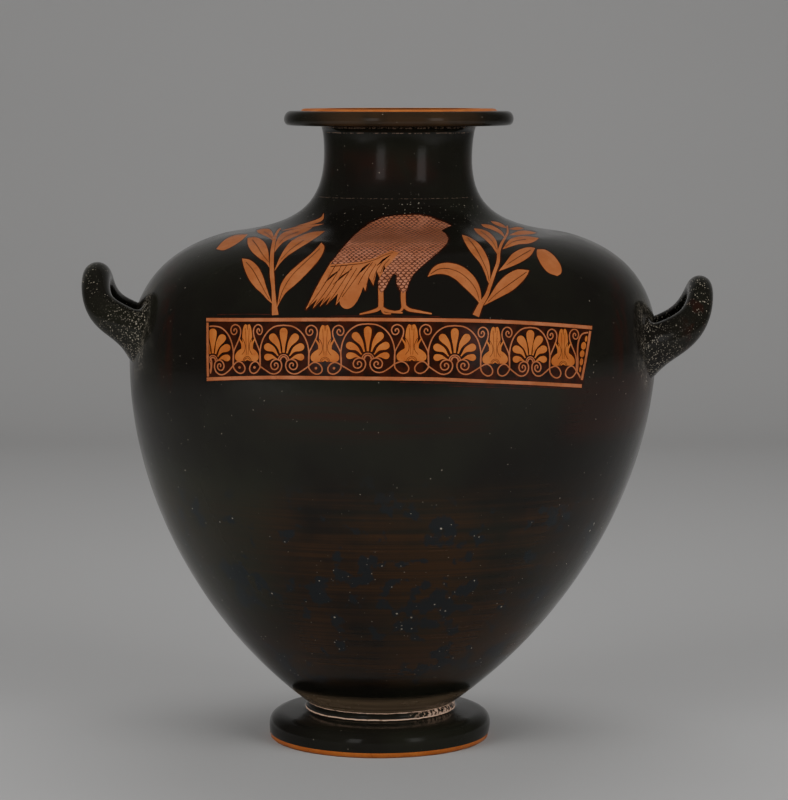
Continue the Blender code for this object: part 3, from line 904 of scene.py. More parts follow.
@dataclass(frozen=True)
class Bird:
    """A standing bird of no special kind, with scaled plumage, a drooping wing and a rounded tail."""

    wing: tuple = (
        (331, 262), (322.6, 276), (315, 290), (305.6, 309.6), (313.4, 302.4), (317.4, 298.6),
        (312.6, 308.8), (320.4, 301), (324.4, 297.4), (319.6, 306.8), (327.4, 299.4), (330.4, 296.4),
        (326, 305.2), (332.6, 299), (338, 293.4), (335.6, 305.4), (341.6, 299), (346, 288), (352, 284),
        (357, 295.4), (360.4, 281), (365.4, 291), (368.6, 276.6), (373.4, 285.6), (376.6, 271),
        (380.6, 279.6), (384, 265.4), (387.4, 272.6), (392, 262), (401, 250), (384, 246), (350, 252),
    )
    tail: tuple = (
        (352, 274), (346, 285), (341, 295), (339.8, 303), (343.4, 308), (349.4, 308.4), (355.4, 303.6),
        (360.6, 294), (364, 284), (368, 274),
    )
    body: tuple = (
        (330, 264.6), (337.4, 254.4), (345.6, 244.6), (354, 235.6), (362, 228.8), (371, 222.4),
        (383, 217.6), (395, 215.6), (408, 215), (420, 215), (430, 217), (438, 220), (446, 222.8),
        (451.4, 225.4), (446, 227.6), (441.4, 230.6), (445.6, 233.6), (448.4, 238.4), (446.8, 243.4),
        (440, 250.6), (430, 259), (421, 266.6), (413.6, 274), (409, 282), (406.6, 291), (402.6, 293.4),
        (399.4, 289.4), (396.4, 283), (397, 275), (393.6, 273.6), (389, 280.6), (384.6, 289.4),
        (381.2, 293.6), (378.6, 288.6), (378, 282.4), (381, 275), (386.6, 267), (393, 260), (399, 252.6),
        (392, 250.6), (384, 253.6), (375, 258), (362, 261.6), (346, 263.4),
    )
    shanks: tuple = (
        (((380.6, 288), (381, 299), (380.8, 309)), 5, 5),
        (((381, 306.4), (377, 309.8), (369, 312.2), (359.6, 314.2)), 4, 1.3),
        (((380.6, 307), (386, 310.4), (394, 312), (402.6, 312.8)), 3.8, 1.4),
        (((381.6, 308.6), (384, 313), (391, 313.8)), 2.4, 1.2),
        (((403.4, 288), (403.2, 299), (404, 308)), 4.8, 4.8),
        (((403.6, 305.6), (409, 309.6), (419, 311.6), (431.8, 313.8)), 4, 1.3),
        (((403.4, 306.4), (400.6, 310.6), (395, 311.6)), 3, 1.2),
    )
    gaps: tuple = (
        ((324.6, 283), (340, 269.6), 2.2),
        ((333, 284.6), (352.6, 268.4), 1.8),
        ((357, 275.4), (370.6, 262.4), 2.6),
        ((376.6, 266), (391, 254.6), 2.2),
    )
    ribs: tuple = (
        ((336, 264.6), (322, 288), (309, 306)),
        ((342, 264.6), (328, 288), (315.6, 305)),
        ((347, 265), (334, 286), (322.4, 303.4)),
        ((352.6, 266), (340, 286), (328.4, 303)),
        ((357, 268), (346, 286), (337.4, 302)),
        ((360, 272), (350, 286), (342, 297)),
        ((372.6, 262), (364, 274), (358, 284.6)),
        ((376, 264), (370, 274), (366.6, 285)),
        ((382.6, 261.6), (376.4, 271), (373.6, 279.6)),
        ((389.4, 259), (383.6, 266), (380.6, 273.4)),
    )
    covert_edge: tuple = (
        (330.4, 266.6), (346, 265.2), (362, 263.4), (375, 259.6), (384, 255.4), (393, 252.4),
    )

    def draw(self, sheet: Drawing) -> None:
        """Draws the dark edges, feathers, legs, the scaled body over them, and the feathers' lines."""
        for outline in (self.wing, self.body):
            sheet.stroke(outline + outline[:1], 2.6, Finish.EDGE)
        for points, width, end_width in self.shanks:
            sheet.stroke(points, width + 2.4, Finish.EDGE, end_width + 1.6)
        sheet.corners(self.wing, Finish.LEAF)
        sheet.fill(self.tail, Finish.LEAF)
        for points, width, end_width in self.shanks:
            sheet.stroke(points, width, Finish.LEAF, end_width)
        sheet.corners(self.body, Finish.PLUMAGE)
        for start, end, width in self.gaps:
            middle = ((start[0] + end[0]) / 2 - 0.4, (start[1] + end[1]) / 2 - 0.4)
            sheet.stroke([start, middle], 0.3, Finish.EDGE, width)
            sheet.stroke([middle, end], width, Finish.EDGE, 0.3)
        for points in self.ribs:
            sheet.stroke(points, 0.7, Finish.RELIEF)
        sheet.stroke(self.covert_edge, 1.0, Finish.RELIEF, 0.6)


class Piece:
    """A mesh being put together from whole arrays."""

    def __init__(self, name: str) -> None:
        """Starts an empty piece.

        Args:
            name: the piece's name in the scene.
        """
        self.name = name
        self.points = np.zeros((0, 3))
        self.faces: list = []
        self.finishes: list = []

    def add_faces(self, faces: Array, finishes: Array | int) -> None:
        """Adds faces, all with the same number of corners, and the finish of each or of all."""
        self.faces.append(faces.astype(np.int32))
        self.finishes.append(np.broadcast_to(finishes, len(faces)).astype(np.int32))

    def build(self, normals: Array | None = None) -> Object:
        """Puts the arrays into a mesh and links its object at the origin.

        Args:
            normals: the surface's own direction at each point, or None to average the faces.

        Returns:
            The new object.
        """
        mesh = bpy.data.meshes.new(self.name)
        sizes = np.concatenate([np.full(len(group), group.shape[1], np.int32) for group in self.faces])
        corners = np.concatenate([group.ravel() for group in self.faces])
        starts = np.concatenate([[0], np.cumsum(sizes)[:-1]]).astype(np.int32)
        mesh.vertices.add(len(self.points))
        mesh.vertices.foreach_set("co", self.points.astype(np.float32).ravel())
        mesh.loops.add(len(corners))
        mesh.loops.foreach_set("vertex_index", corners)
        mesh.polygons.add(len(sizes))
        mesh.polygons.foreach_set("loop_start", starts)
        mesh.polygons.foreach_set("material_index", np.concatenate(self.finishes))
        mesh.update(calc_edges=True)
        mesh.validate()
        mesh.shade_smooth()
        if normals is not None:
            mesh.normals_split_custom_set_from_vertices(normals.astype(np.float32).tolist())
        made = bpy.data.objects.new(self.name, mesh)
        bpy.context.scene.collection.objects.link(made)
        return made


@dataclass
class Jar:
    """The turned jar: one closed surface from the underside's middle, over the lip, to the floor inside."""

    sizes: JarSizes
    wall: Wall
    view: Viewpoint
    columns: int = 240
    body_spacing: float = 0.0036
    hollow_spacing: float = 0.0085
    black_throat: float = 0.045
    pole_radius: float = 0.006
    window_half_turn: float = math.radians(93.0)
    window_low: float = 0.221
    window_high: float = 0.337
    chart_radius: float = 150.0
    per_metre: float = 1000.0
    rows: Array = field(init=False)
    bands: Array = field(init=False)
    body_first: int = field(init=False)
    body_distances: Array = field(init=False)

    def foot_rows(self) -> list:
        """The foot's stretches of the profile with their finishes: recess and ring, side, top, fillet."""
        s = self.sizes
        ring_inner = s.foot_radius - 0.0016 - s.resting_ring_width
        edge = s.foot_radius - 0.0022
        bevel = (edge + 0.0008, 0.0007)
        band_top = (s.foot_radius - 0.0008, s.foot_band_height)
        shelf = (s.foot_top_radius, 0.925 * s.foot_height)
        under = [
            (self.pole_radius, s.recess_depth),
            (ring_inner - 0.45 * s.recess_depth, 0.88 * s.recess_depth),
            (ring_inner, 0.0),
            (edge, 0.0),
            bevel,
        ]
        high = (s.foot_radius - 0.0010, 0.86 * s.foot_height)
        flank = cubic(band_top, (s.foot_radius + 0.0008, 0.62 * s.foot_height), high, shelf, 12)
        top = [
            shelf,
            (s.fillet_radius + 0.0016, s.foot_height),
            (s.fillet_radius - 0.0002, s.foot_height + 0.0010),
            (s.fillet_radius + 0.0004, s.foot_height + 0.0020),
            (s.fillet_radius + 0.0002, s.stem_z - 0.0012),
            (s.fillet_radius - 0.0014, s.stem_z - 0.0002),
            (s.stem_radius, s.stem_z),
        ]
        return [
            (softened(np.array(under), 0.0006), Finish.RAW),
            (np.array([bevel, band_top]), Finish.CLAY),
            (flank, Finish.GLOSS),
            (resampled(softened(np.array(top), 0.0006), 0.0010), Finish.GLOSS),
        ]

    def lip_rows(self) -> list:
        """The lip's stretches of the profile with their finishes, from its underside down into the hollow."""
        s = self.sizes
        black_top = s.top_z - s.lip_band_rise
        low_corner = (s.lip_radius - s.lip_edge, s.lip_z + 0.0010)
        high_corner = (s.lip_radius - s.lip_edge, black_top)
        ring_foot = (s.lip_band_radius + 0.0012, black_top + 0.0002)
        mouth_edge = (s.mouth_radius, s.top_z - 0.0003)
        under = [(s.collar_radius, s.lip_z), (s.collar_radius + 0.0012, s.lip_z + 0.0005), low_corner]
        edge = cubic(
            low_corner,
            (s.lip_radius + 0.0008, s.lip_z + 0.10 * s.lip_height),
            (s.lip_radius + 0.0008, black_top - 0.12 * s.lip_height),
            high_corner,
            18,
        )
        top = [high_corner, (s.lip_band_radius + 0.0030, black_top + 0.0001), ring_foot]
        ring = [
            ring_foot,
            (s.lip_band_radius, s.top_z - 0.0003),
            (s.lip_band_radius - 0.0006, s.top_z),
            (s.mouth_radius + 0.0004, s.top_z),
            mouth_edge,
        ]
        inside = s.body_curve(40)
        rise = unit(np.gradient(inside, axis=0))
        inside = inside + s.wall * np.stack([-rise[:, 1], rise[:, 0]], axis=1)
        floor_z = s.stem_z + s.floor_thickness
        keep = (inside[:, 1] > floor_z + 0.4 * s.wall) & (inside[:, 1] < s.neck_z + 0.002)
        inside = inside[keep][::-1]
        throat = inside[0]
        mouth = cubic(
            mouth_edge,
            (s.mouth_radius - 0.0035, s.top_z - 0.0030),
            (throat[0], throat[1] + 0.55 * (s.top_z - throat[1])),
            tuple(throat),
            12,
        )
        black = inside[inside[:, 1] > s.neck_z - self.black_throat]
        plain = inside[inside[:, 1] <= s.neck_z - self.black_throat]
        plain = np.concatenate([black[-1:], plain])
        low_end = plain[-1]
        floor = [tuple(low_end), (0.75 * low_end[0], floor_z + 0.0006), (self.pole_radius, floor_z)]
        return [
            (softened(np.array(under), 0.0004), Finish.GLOSS),
            (edge, Finish.GLOSS),
            (softened(np.array(top), 0.0003), Finish.GLOSS),
            (softened(np.array(ring), 0.0002), Finish.CLAY),
            (mouth, Finish.GLOSS),
            (resampled(black, self.body_spacing), Finish.GLOSS),
            (resampled(plain, self.hollow_spacing), Finish.RAW),
            (softened(np.array(floor), 0.002), Finish.RAW),
        ]

    def lay_rows(self) -> None:
        """Joins the stretches into one row of rings, and keeps where the body's rings start."""
        body = resampled(self.wall.curve, self.body_spacing)
        self.body_distances = np.linspace(0.0, self.wall.distances[-1], len(body))
        stretches = self.foot_rows() + [(body, Finish.GLOSS)] + self.lip_rows()
        points = [stretches[0][0][:1]]
        bands = []
        for number, (stretch, finish) in enumerate(stretches):
            if number == len(self.foot_rows()):
                self.body_first = sum(len(part) for part in points) - 1
            points.append(stretch[1:])
            bands.append(np.full(len(stretch) - 1, int(finish)))
        self.rows = np.concatenate(points)
        self.bands = np.concatenate(bands)

    def turned_normals(self, turn: Array, height: Array, out: Array, up: Array) -> Array:
        """The surface's direction: (out sin turn, -out cos turn, up), sheared back by the axis's slope."""
        x = out * np.sin(turn)
        y = -out * np.cos(turn)
        z = up - self.sizes.offset_slope(height) * x
        normals = np.stack(np.broadcast_arrays(x, y, z), axis=-1)
        return unit(normals)

    def build(self, drawing: Drawing) -> Object:
        """Turns the rows about the axis, leaves a window in front and fills it with the drawing.

        Args:
            drawing: the painter's patches.

        Returns:
            The jar's object.
        """
        self.lay_rows()
        rows, count = self.rows, self.columns
        turn = 2.0 * math.pi * np.arange(count) / count
        centre = self.wall.centre_x(rows[:, 1])[:, None]
        x = centre + rows[:, :1] * np.sin(turn)
        y = -rows[:, :1] * np.cos(turn)
        z = np.broadcast_to(rows[:, 1:], x.shape)
        grid = np.stack([x, y, z], axis=2).reshape(-1, 3)
        floor_x = self.wall.centre_x(rows[-1, 1])
        poles = np.array([[self.wall.foot_x, 0.0, rows[0, 1]], [floor_x, 0.0, rows[-1, 1]]])
        rise = unit(np.gradient(rows, lengths_along(rows), axis=0))
        normals = self.turned_normals(turn[None, :], rows[:, 1:], rise[:, 1:], -rise[:, :1]).reshape(-1, 3)
        pole_normals = np.array([[0.0, 0.0, -1.0], [0.0, 0.0, 1.0]])

        piece = Piece("jar")
        low_row, high_row, half = self.window_span()
        i = np.arange(len(rows) - 1)[:, None]
        signed = (np.arange(count)[None, :] + count // 2) % count - count // 2
        in_window = (i >= low_row) & (i < high_row) & (signed >= -half) & (signed < half)
        quads = grid_quads(len(rows), count)
        piece.add_faces(quads[~in_window], np.broadcast_to(self.bands[:, None], in_window.shape)[~in_window])
        for cap in grid_caps(len(rows), count):
            piece.add_faces(cap, int(Finish.RAW))

        filled = self.window(drawing, low_row, high_row, half, len(grid) + 2)
        extra, extra_normals, triangles, finishes = filled
        piece.add_faces(triangles, finishes)
        piece.points = np.concatenate([grid, poles, extra])
        made = piece.build(np.concatenate([normals, pole_normals, extra_normals]))
        self.add_lie(made, piece.points)
        return made

    def window_span(self) -> tuple:
        """First and last ring of the window, and the columns to each side of the front that it spans."""
        heights = self.rows[self.body_first : self.body_first + len(self.body_distances), 1]
        low = self.body_first + int(np.argmax(heights >= self.window_low))
        high = self.body_first + int(np.argmax(heights >= self.window_high))
        half = int(round(self.window_half_turn / (2.0 * math.pi) * self.columns))
        return low, high, half

    def charted(self, places: Array) -> Array:
        """Turn and distance laid flat in millimetres: (turn times one radius, distance)."""
        return np.stack([places[:, 0] * self.chart_radius, places[:, 1] * self.per_metre], axis=1)

    def window(self, drawing: Drawing, low_row: int, high_row: int, half: int, first_new: int) -> tuple:
        """Fills the window with triangles whose sides follow every outline of the drawing.

        The window's own grid points and all outlines go into one constrained Delaunay triangulation
        of the flat chart. A triangle takes the finish of the last patch that holds its middle.

        Args:
            drawing: the painter's patches.
            low_row: first ring of the window.
            high_row: last ring of the window.
            half: columns to each side of the front.
            first_new: index that the first new point will have in the piece.

        Returns:
            New points, their normals, triangles as indices into the piece, and each triangle's finish.
        """
        i = np.arange(low_row, high_row + 1)
        j = np.arange(-half, half + 1)
        ids = (i[:, None] * self.columns + j[None, :] % self.columns).ravel()
        turn = 2.0 * math.pi * j / self.columns
        distance = self.body_distances[i - self.body_first]
        grid = np.stack(np.meshgrid(turn, distance), axis=2).reshape(-1, 2)
        wide = len(j)
        cells = np.arange(len(ids)).reshape(len(i), wide)
        rim = np.concatenate([cells[0], cells[1:, -1], cells[-1, -2::-1], cells[-2:0:-1, 0]])
        edges = list(zip(rim.tolist(), np.roll(rim, -1).tolist()))
        outlines = [patch.outline for patch in drawing.patches]
        counts = np.array([len(outline) for outline in outlines])
        thrown = self.charted(self.view.thrown(np.concatenate(outlines), self.wall))
        starts = len(ids) + np.concatenate([[0], np.cumsum(counts)[:-1]])
        for start, size in zip(starts, counts):
            loop = np.arange(start, start + size)
            edges += zip(loop.tolist(), np.roll(loop, -1).tolist())
        flat = np.concatenate([self.charted(grid), thrown])
        made = delaunay_2d_cdt([Vector(point) for point in flat.tolist()], edges, [], 0, 0.0005, True)
        chart = np.array([tuple(point) for point in made[0]])
        triangles = np.array([face for face in made[2] if len(face) == 3])
        source = np.array([min(origin) if origin else len(flat) for origin in made[3]])
        on_grid = source < len(ids)
        new = np.cumsum(~on_grid) - 1
        index = np.where(on_grid, ids[np.minimum(source, len(ids) - 1)], first_new + new)
        fresh = chart[~on_grid]
        turns, distances = fresh[:, 0] / self.chart_radius, fresh[:, 1] / self.per_metre
        points = self.wall.place(turns, distances)
        _, height, rise_r, rise_z = self.wall.profile(distances)
        normals = self.turned_normals(turns, height, rise_z, -rise_r)
        corners = chart[triangles]
        first, second = corners[:, 1] - corners[:, 0], corners[:, 2] - corners[:, 0]
        area = first[:, 0] * second[:, 1] - first[:, 1] * second[:, 0]
        triangles[area < 0] = triangles[area < 0][:, ::-1]
        middles = corners.mean(axis=1)
        finishes = np.full(len(triangles), int(Finish.GLOSS))
        for patch, start, size in zip(drawing.patches, starts - len(ids), counts):
            outline = thrown[start : start + size]
            in_box = (middles >= outline.min(axis=0)) & (middles <= outline.max(axis=0))
            near = np.flatnonzero(in_box.all(axis=1))
            finishes[near[winding(middles[near], outline) != 0]] = int(patch.finish)
        log.info("window: %d triangles, %d new points", len(triangles), len(points))
        return points, normals, index[triangles], finishes

    def add_lie(self, made: Object, points: Array) -> None:
        """Stores how far each point lies around and up the wall, for patterns that follow the surface."""
        height = points[:, 2]
        across = points[:, 0] - self.wall.centre_x(height)
        turn = np.arctan2(across, -points[:, 1])
        radius = np.hypot(across, points[:, 1])
        up = self.wall.distance_at(np.clip(height, self.sizes.stem_z, self.sizes.lip_z))
        lie = np.stack([turn * radius, up, np.zeros(len(points))], axis=1)
        attribute = made.data.attributes.new("lie", "FLOAT_VECTOR", "POINT")
        attribute.data.foreach_set("vector", lie.astype(np.float32).ravel())


def winding(points: Array, outline: Array) -> Array:
    """How often an outline runs round each point: upward sides that pass it on the right, less downward ones.

    Args:
        points: array (n, 2).
        outline: array (m, 2), closed from its last point to its first.

    Returns:
        Array of n whole numbers.
    """
    start, end = outline, np.roll(outline, -1, axis=0)
    px, py = points[:, 0:1], points[:, 1:2]
    side = (end[:, 0] - start[:, 0]) * (py - start[:, 1]) - (px - start[:, 0]) * (end[:, 1] - start[:, 1])
    up = (start[:, 1] <= py) & (end[:, 1] > py) & (side > 0.0)
    down = (start[:, 1] > py) & (end[:, 1] <= py) & (side < 0.0)
    return up.sum(axis=1) - down.sum(axis=1)


@dataclass
class Handle:
    """A bar that spreads into an oval root on the wall at both ends."""

    name: str
    wall: Wall
    sides: int = 40
    rings: int = 84
    skin: float = 0.0008
    root_depth: float = 0.0050
    root_fillet: float = 0.0045
    root_turn: float = 0.0110
    tangent_step: float = 0.0005
    dirt_reach: float = 0.012

    def place(self, t: Array) -> Array:
        """The bar's middle at shares t of its length."""
        raise NotImplementedError

    def half_sizes(self, t: Array) -> tuple:
        """Half the bar's size towards upright and across it, at shares t."""
        raise NotImplementedError

    def roots(self) -> list:
        """Both roots as (turn, distance up the profile, half size towards upright, half size across)."""
        raise NotImplementedError

    def upright(self) -> Array:
        """The direction that the first half size is measured in."""
        raise NotImplementedError

    def build(self) -> Object:
        """Lofts the rings: the bar's sections turn onto the wall near a root and spread into its oval.

        With gap the distance to an end, a section turns by exp(-(gap / root_turn)^2) and takes the
        oval's place by exp(-gap / root_fillet).

        Returns:
            The handle's object, closed, with both ends inside the wall.
        """
        share = np.linspace(-1.0, 1.0, self.rings + 1)
        t = 0.5 + 0.5 * np.sign(share) * (1.0 - (1.0 - np.abs(share)) ** 1.5)
        middle = self.place(t)
        before, after = np.maximum(t - self.tangent_step, 0.0), np.minimum(t + self.tangent_step, 1.0)
        along = unit(self.place(after) - self.place(before))
        upright = self.upright()
        first = unit(upright - (along @ upright)[:, None] * along)
        second = np.cross(along, first)
        roots = self.roots()
        angle = 2.0 * math.pi * np.arange(self.sides) / self.sides
        flats = [self.lying(root, first[k], second[k]) for root, k in zip(roots, (0, -1))]
        ovals = [self.oval(root, flat, angle, self.skin) for root, flat in zip(roots, flats)]
        sunk = [self.oval(root, flat, angle, self.root_depth) for root, flat in zip(roots, flats)]
        gaps = np.linalg.norm(middle[None] - middle[[0, -1]][:, None], axis=2)
        spreads = np.exp(-gaps / self.root_fillet)
        turns = np.exp(-((gaps / self.root_turn) ** 2))
        axes = []
        for k, (square, size) in enumerate(zip((first, second), self.half_sizes(t))):
            turned = square * (1.0 - turns.sum(axis=0))[:, None]
            turned = unit(turned + turns[0][:, None] * flats[0][k] + turns[1][:, None] * flats[1][k])
            axes.append(turned * (size / (turned * square).sum(axis=1))[:, None])
        upwards = axes[0][:, None] * np.cos(angle)[None, :, None]
        sideways = axes[1][:, None] * np.sin(angle)[None, :, None]
        bars = middle[:, None] + upwards + sideways
        keep = (1.0 - spreads.sum(axis=0))[:, None, None]
        bars = bars * keep + ovals[0] * spreads[0][:, None, None] + ovals[1] * spreads[1][:, None, None]
        bars = self.wall.lifted(bars, self.skin)
        rings = np.concatenate([sunk[0][None], bars, sunk[1][None]])
        return self.mesh(rings, np.concatenate([[1.0], np.exp(-gaps.min(axis=0) / self.dirt_reach), [1.0]]))

    def root_points(self) -> list:
        """Where the middles of both roots stand on the wall."""
        return [self.wall.place(root[0], root[1]) for root in self.roots()]

    def lying(self, root: tuple, first: Array, second: Array) -> list:
        """The section's two directions laid flat on the wall at a root."""
        up, around = self.wall.directions(root[0], root[1])
        flat = [up * (axis @ up) + around * (axis @ around) for axis in (first, second)]
        return [unit(axis) for axis in flat]

    def oval(self, root: tuple, flat: list, angle: Array, depth: float) -> Array:
        """The root's oval on the wall, sunk by depth: its half sizes times cos and sin of the angle."""
        turn, distance, half_first, half_second = root
        up, around = self.wall.directions(turn, distance)
        radius = self.wall.profile(distance)[0]
        spread = flat[0] * (half_first * np.cos(angle))[:, None]
        spread = spread + flat[1] * (half_second * np.sin(angle))[:, None]
        return self.wall.place(turn + spread @ around / radius, distance + spread @ up, depth)

    def mesh(self, rings: Array, nearness: Array) -> Object:
        """Joins rings with quads, closes both ends, and stores how near each point is to a root."""
        count, sides = rings.shape[:2]
        piece = Piece(self.name)
        piece.points = np.concatenate([rings.reshape(-1, 3), rings[[0, -1]].mean(axis=1)])
        quads = grid_quads(count, sides).reshape(-1, 4)
        corners = piece.points[quads]
        first, second = corners[:, 1] - corners[:, 0], corners[:, 2] - corners[:, 0]
        outward = corners[:, 0] - piece.points.mean(axis=0)
        volume = np.einsum("ij,ij->i", np.cross(first, second), outward).sum()
        for faces in (quads, *grid_caps(count, sides)):
            piece.add_faces(faces if volume > 0 else faces[:, ::-1], 0)
        made = piece.build()
        values = np.concatenate([np.repeat(nearness, sides), [1.0, 1.0]]).astype(np.float32)
        attribute = made.data.attributes.new("root_nearness", "FLOAT", "POINT")
        attribute.data.foreach_set("value", values)
        return made


@dataclass
class SideHandle(Handle):
    """An upturned loop: two limbs leave the belly side by side, bend up and meet at the tip."""

    side: float = 1.0
    root_above_belly: float = 0.0
    reach: float = 0.02
    rise: float = 0.04
    start_slope: float = 2.0
    hook: float = 0.001
    tip_radius: float = 0.0085
    limb_half_height: float = 0.0110
    limb_half_width: float = 0.0090
    roll: float = 0.00235
    limb_half_span: float = 0.0430
    root_half_width: float = 0.0170
    root_half_height: float = 0.0230
    root_rise: float = 0.0062
    start_pull: float = 0.30
    tip_pull: float = 0.26

    def root_z(self) -> float:
        """Height where the limbs leave the belly."""
        return self.wall.sizes.belly_z + self.root_above_belly

    def place(self, t: Array) -> Array:
        """Half an ellipse seen from above: across -span cos(pi t), and along a cubic climb by sin(pi t)."""
        z = self.root_z()
        surface = math.sqrt(self.wall.radius_at(z) ** 2 - self.limb_half_span**2)
        out = self.wall.sizes.belly_radius + self.reach - surface
        pull = self.start_pull * out
        low = (pull, pull * self.start_slope)
        high = (out - self.hook, self.tip_pull * self.rise)
        climb = np.array([(0.0, 0.0), low, high, (out, self.rise)])
        along = np.sin(math.pi * t)
        rest = 1.0 - along
        shares = np.stack([rest**3, 3.0 * rest * rest * along, 3.0 * rest * along * along, along**3], axis=1)
        moved = shares @ climb
        x = self.wall.centre_x(z) + self.side * (surface + moved[:, 0])
        front = np.cos(math.pi * t)
        return np.stack([x, -self.limb_half_span * front, z + moved[:, 1] + self.roll * front], axis=1)

    def half_sizes(self, t: Array) -> tuple:
        """Half sizes that go from the limb's to the round tip's by sin(pi t) squared."""
        near_tip = np.sin(math.pi * t) ** 2
        limb = (self.limb_half_height, self.limb_half_width)
        return tuple(size + (self.tip_radius - size) * near_tip for size in limb)

    def roots(self) -> list:
        """Two ovals on the belly, to both sides of the handle's middle."""
        z = self.root_z()
        heights = [z + self.root_rise + roll for roll in (self.roll, -self.roll)]
        distances = [float(self.wall.distance_at(height)) for height in heights]
        spread = math.asin(self.limb_half_span / self.wall.radius_at(z))
        middle = 0.5 * math.pi * self.side
        turns = (middle - self.side * spread, middle + self.side * spread)
        return [(*root, self.root_half_height, self.root_half_width) for root in zip(turns, distances)]

    def upright(self) -> Array:
        """Straight up."""
        return np.array([0.0, 0.0, 1.0])


@dataclass
class BackHandle(Handle):
    """The upright handle at the back, from the neck under the lip down to the shoulder."""

    half_width: float = 0.0110
    half_thickness: float = 0.0085
    root_below_lip: float = 0.0215
    foot_out: float = 0.0600
    clearance: float = 0.0260
    flare: float = 1.55

    def distances(self) -> tuple:
        """Distances up the profile of the upper and the lower root."""
        sizes = self.wall.sizes
        top = float(self.wall.distance_at(sizes.lip_z - self.root_below_lip))
        above = self.wall.curve[:, 1] >= sizes.belly_z
        past = above & (self.wall.curve[:, 0] <= sizes.neck_radius + self.foot_out)
        return top, float(self.wall.distances[int(np.argmax(past))])

    def place(self, t: Array) -> Array:
        """A cubic curve out of the neck, back and down into the shoulder."""
        start, end = (self.wall.place(math.pi, distance) for distance in self.distances())
        pull_start = start + self.clearance * np.array([0.0, 1.35, 0.55])
        pull_end = end + self.clearance * np.array([0.0, 0.45, 1.25])
        t = t[:, None]
        s = 1.0 - t
        return s**3 * start + 3 * s * s * t * pull_start + 3 * s * t * t * pull_end + t**3 * end

    def half_sizes(self, t: Array) -> tuple:
        """An oval bar of one size."""
        return np.full(len(t), self.half_width), np.full(len(t), self.half_thickness)

    def roots(self) -> list:
        """One root on the neck and one on the shoulder."""
        size = (self.flare * self.half_width, self.flare * self.half_thickness)
        return [(math.pi, distance, *size) for distance in self.distances()]

    def upright(self) -> Array:
        """Across the handle, along X."""
        return np.array([1.0, 0.0, 0.0])


def linear(red: float, green: float, blue: float) -> tuple:
    """A colour in 0 to 255 screen values as light: ((c + 0.055) / 1.055)^2.4, or c / 12.92 when dark."""
    shares = [value / 255.0 for value in (red, green, blue)]
    return tuple(c / 12.92 if c <= 0.04045 else ((c + 0.055) / 1.055) ** 2.4 for c in shares) + (1.0,)


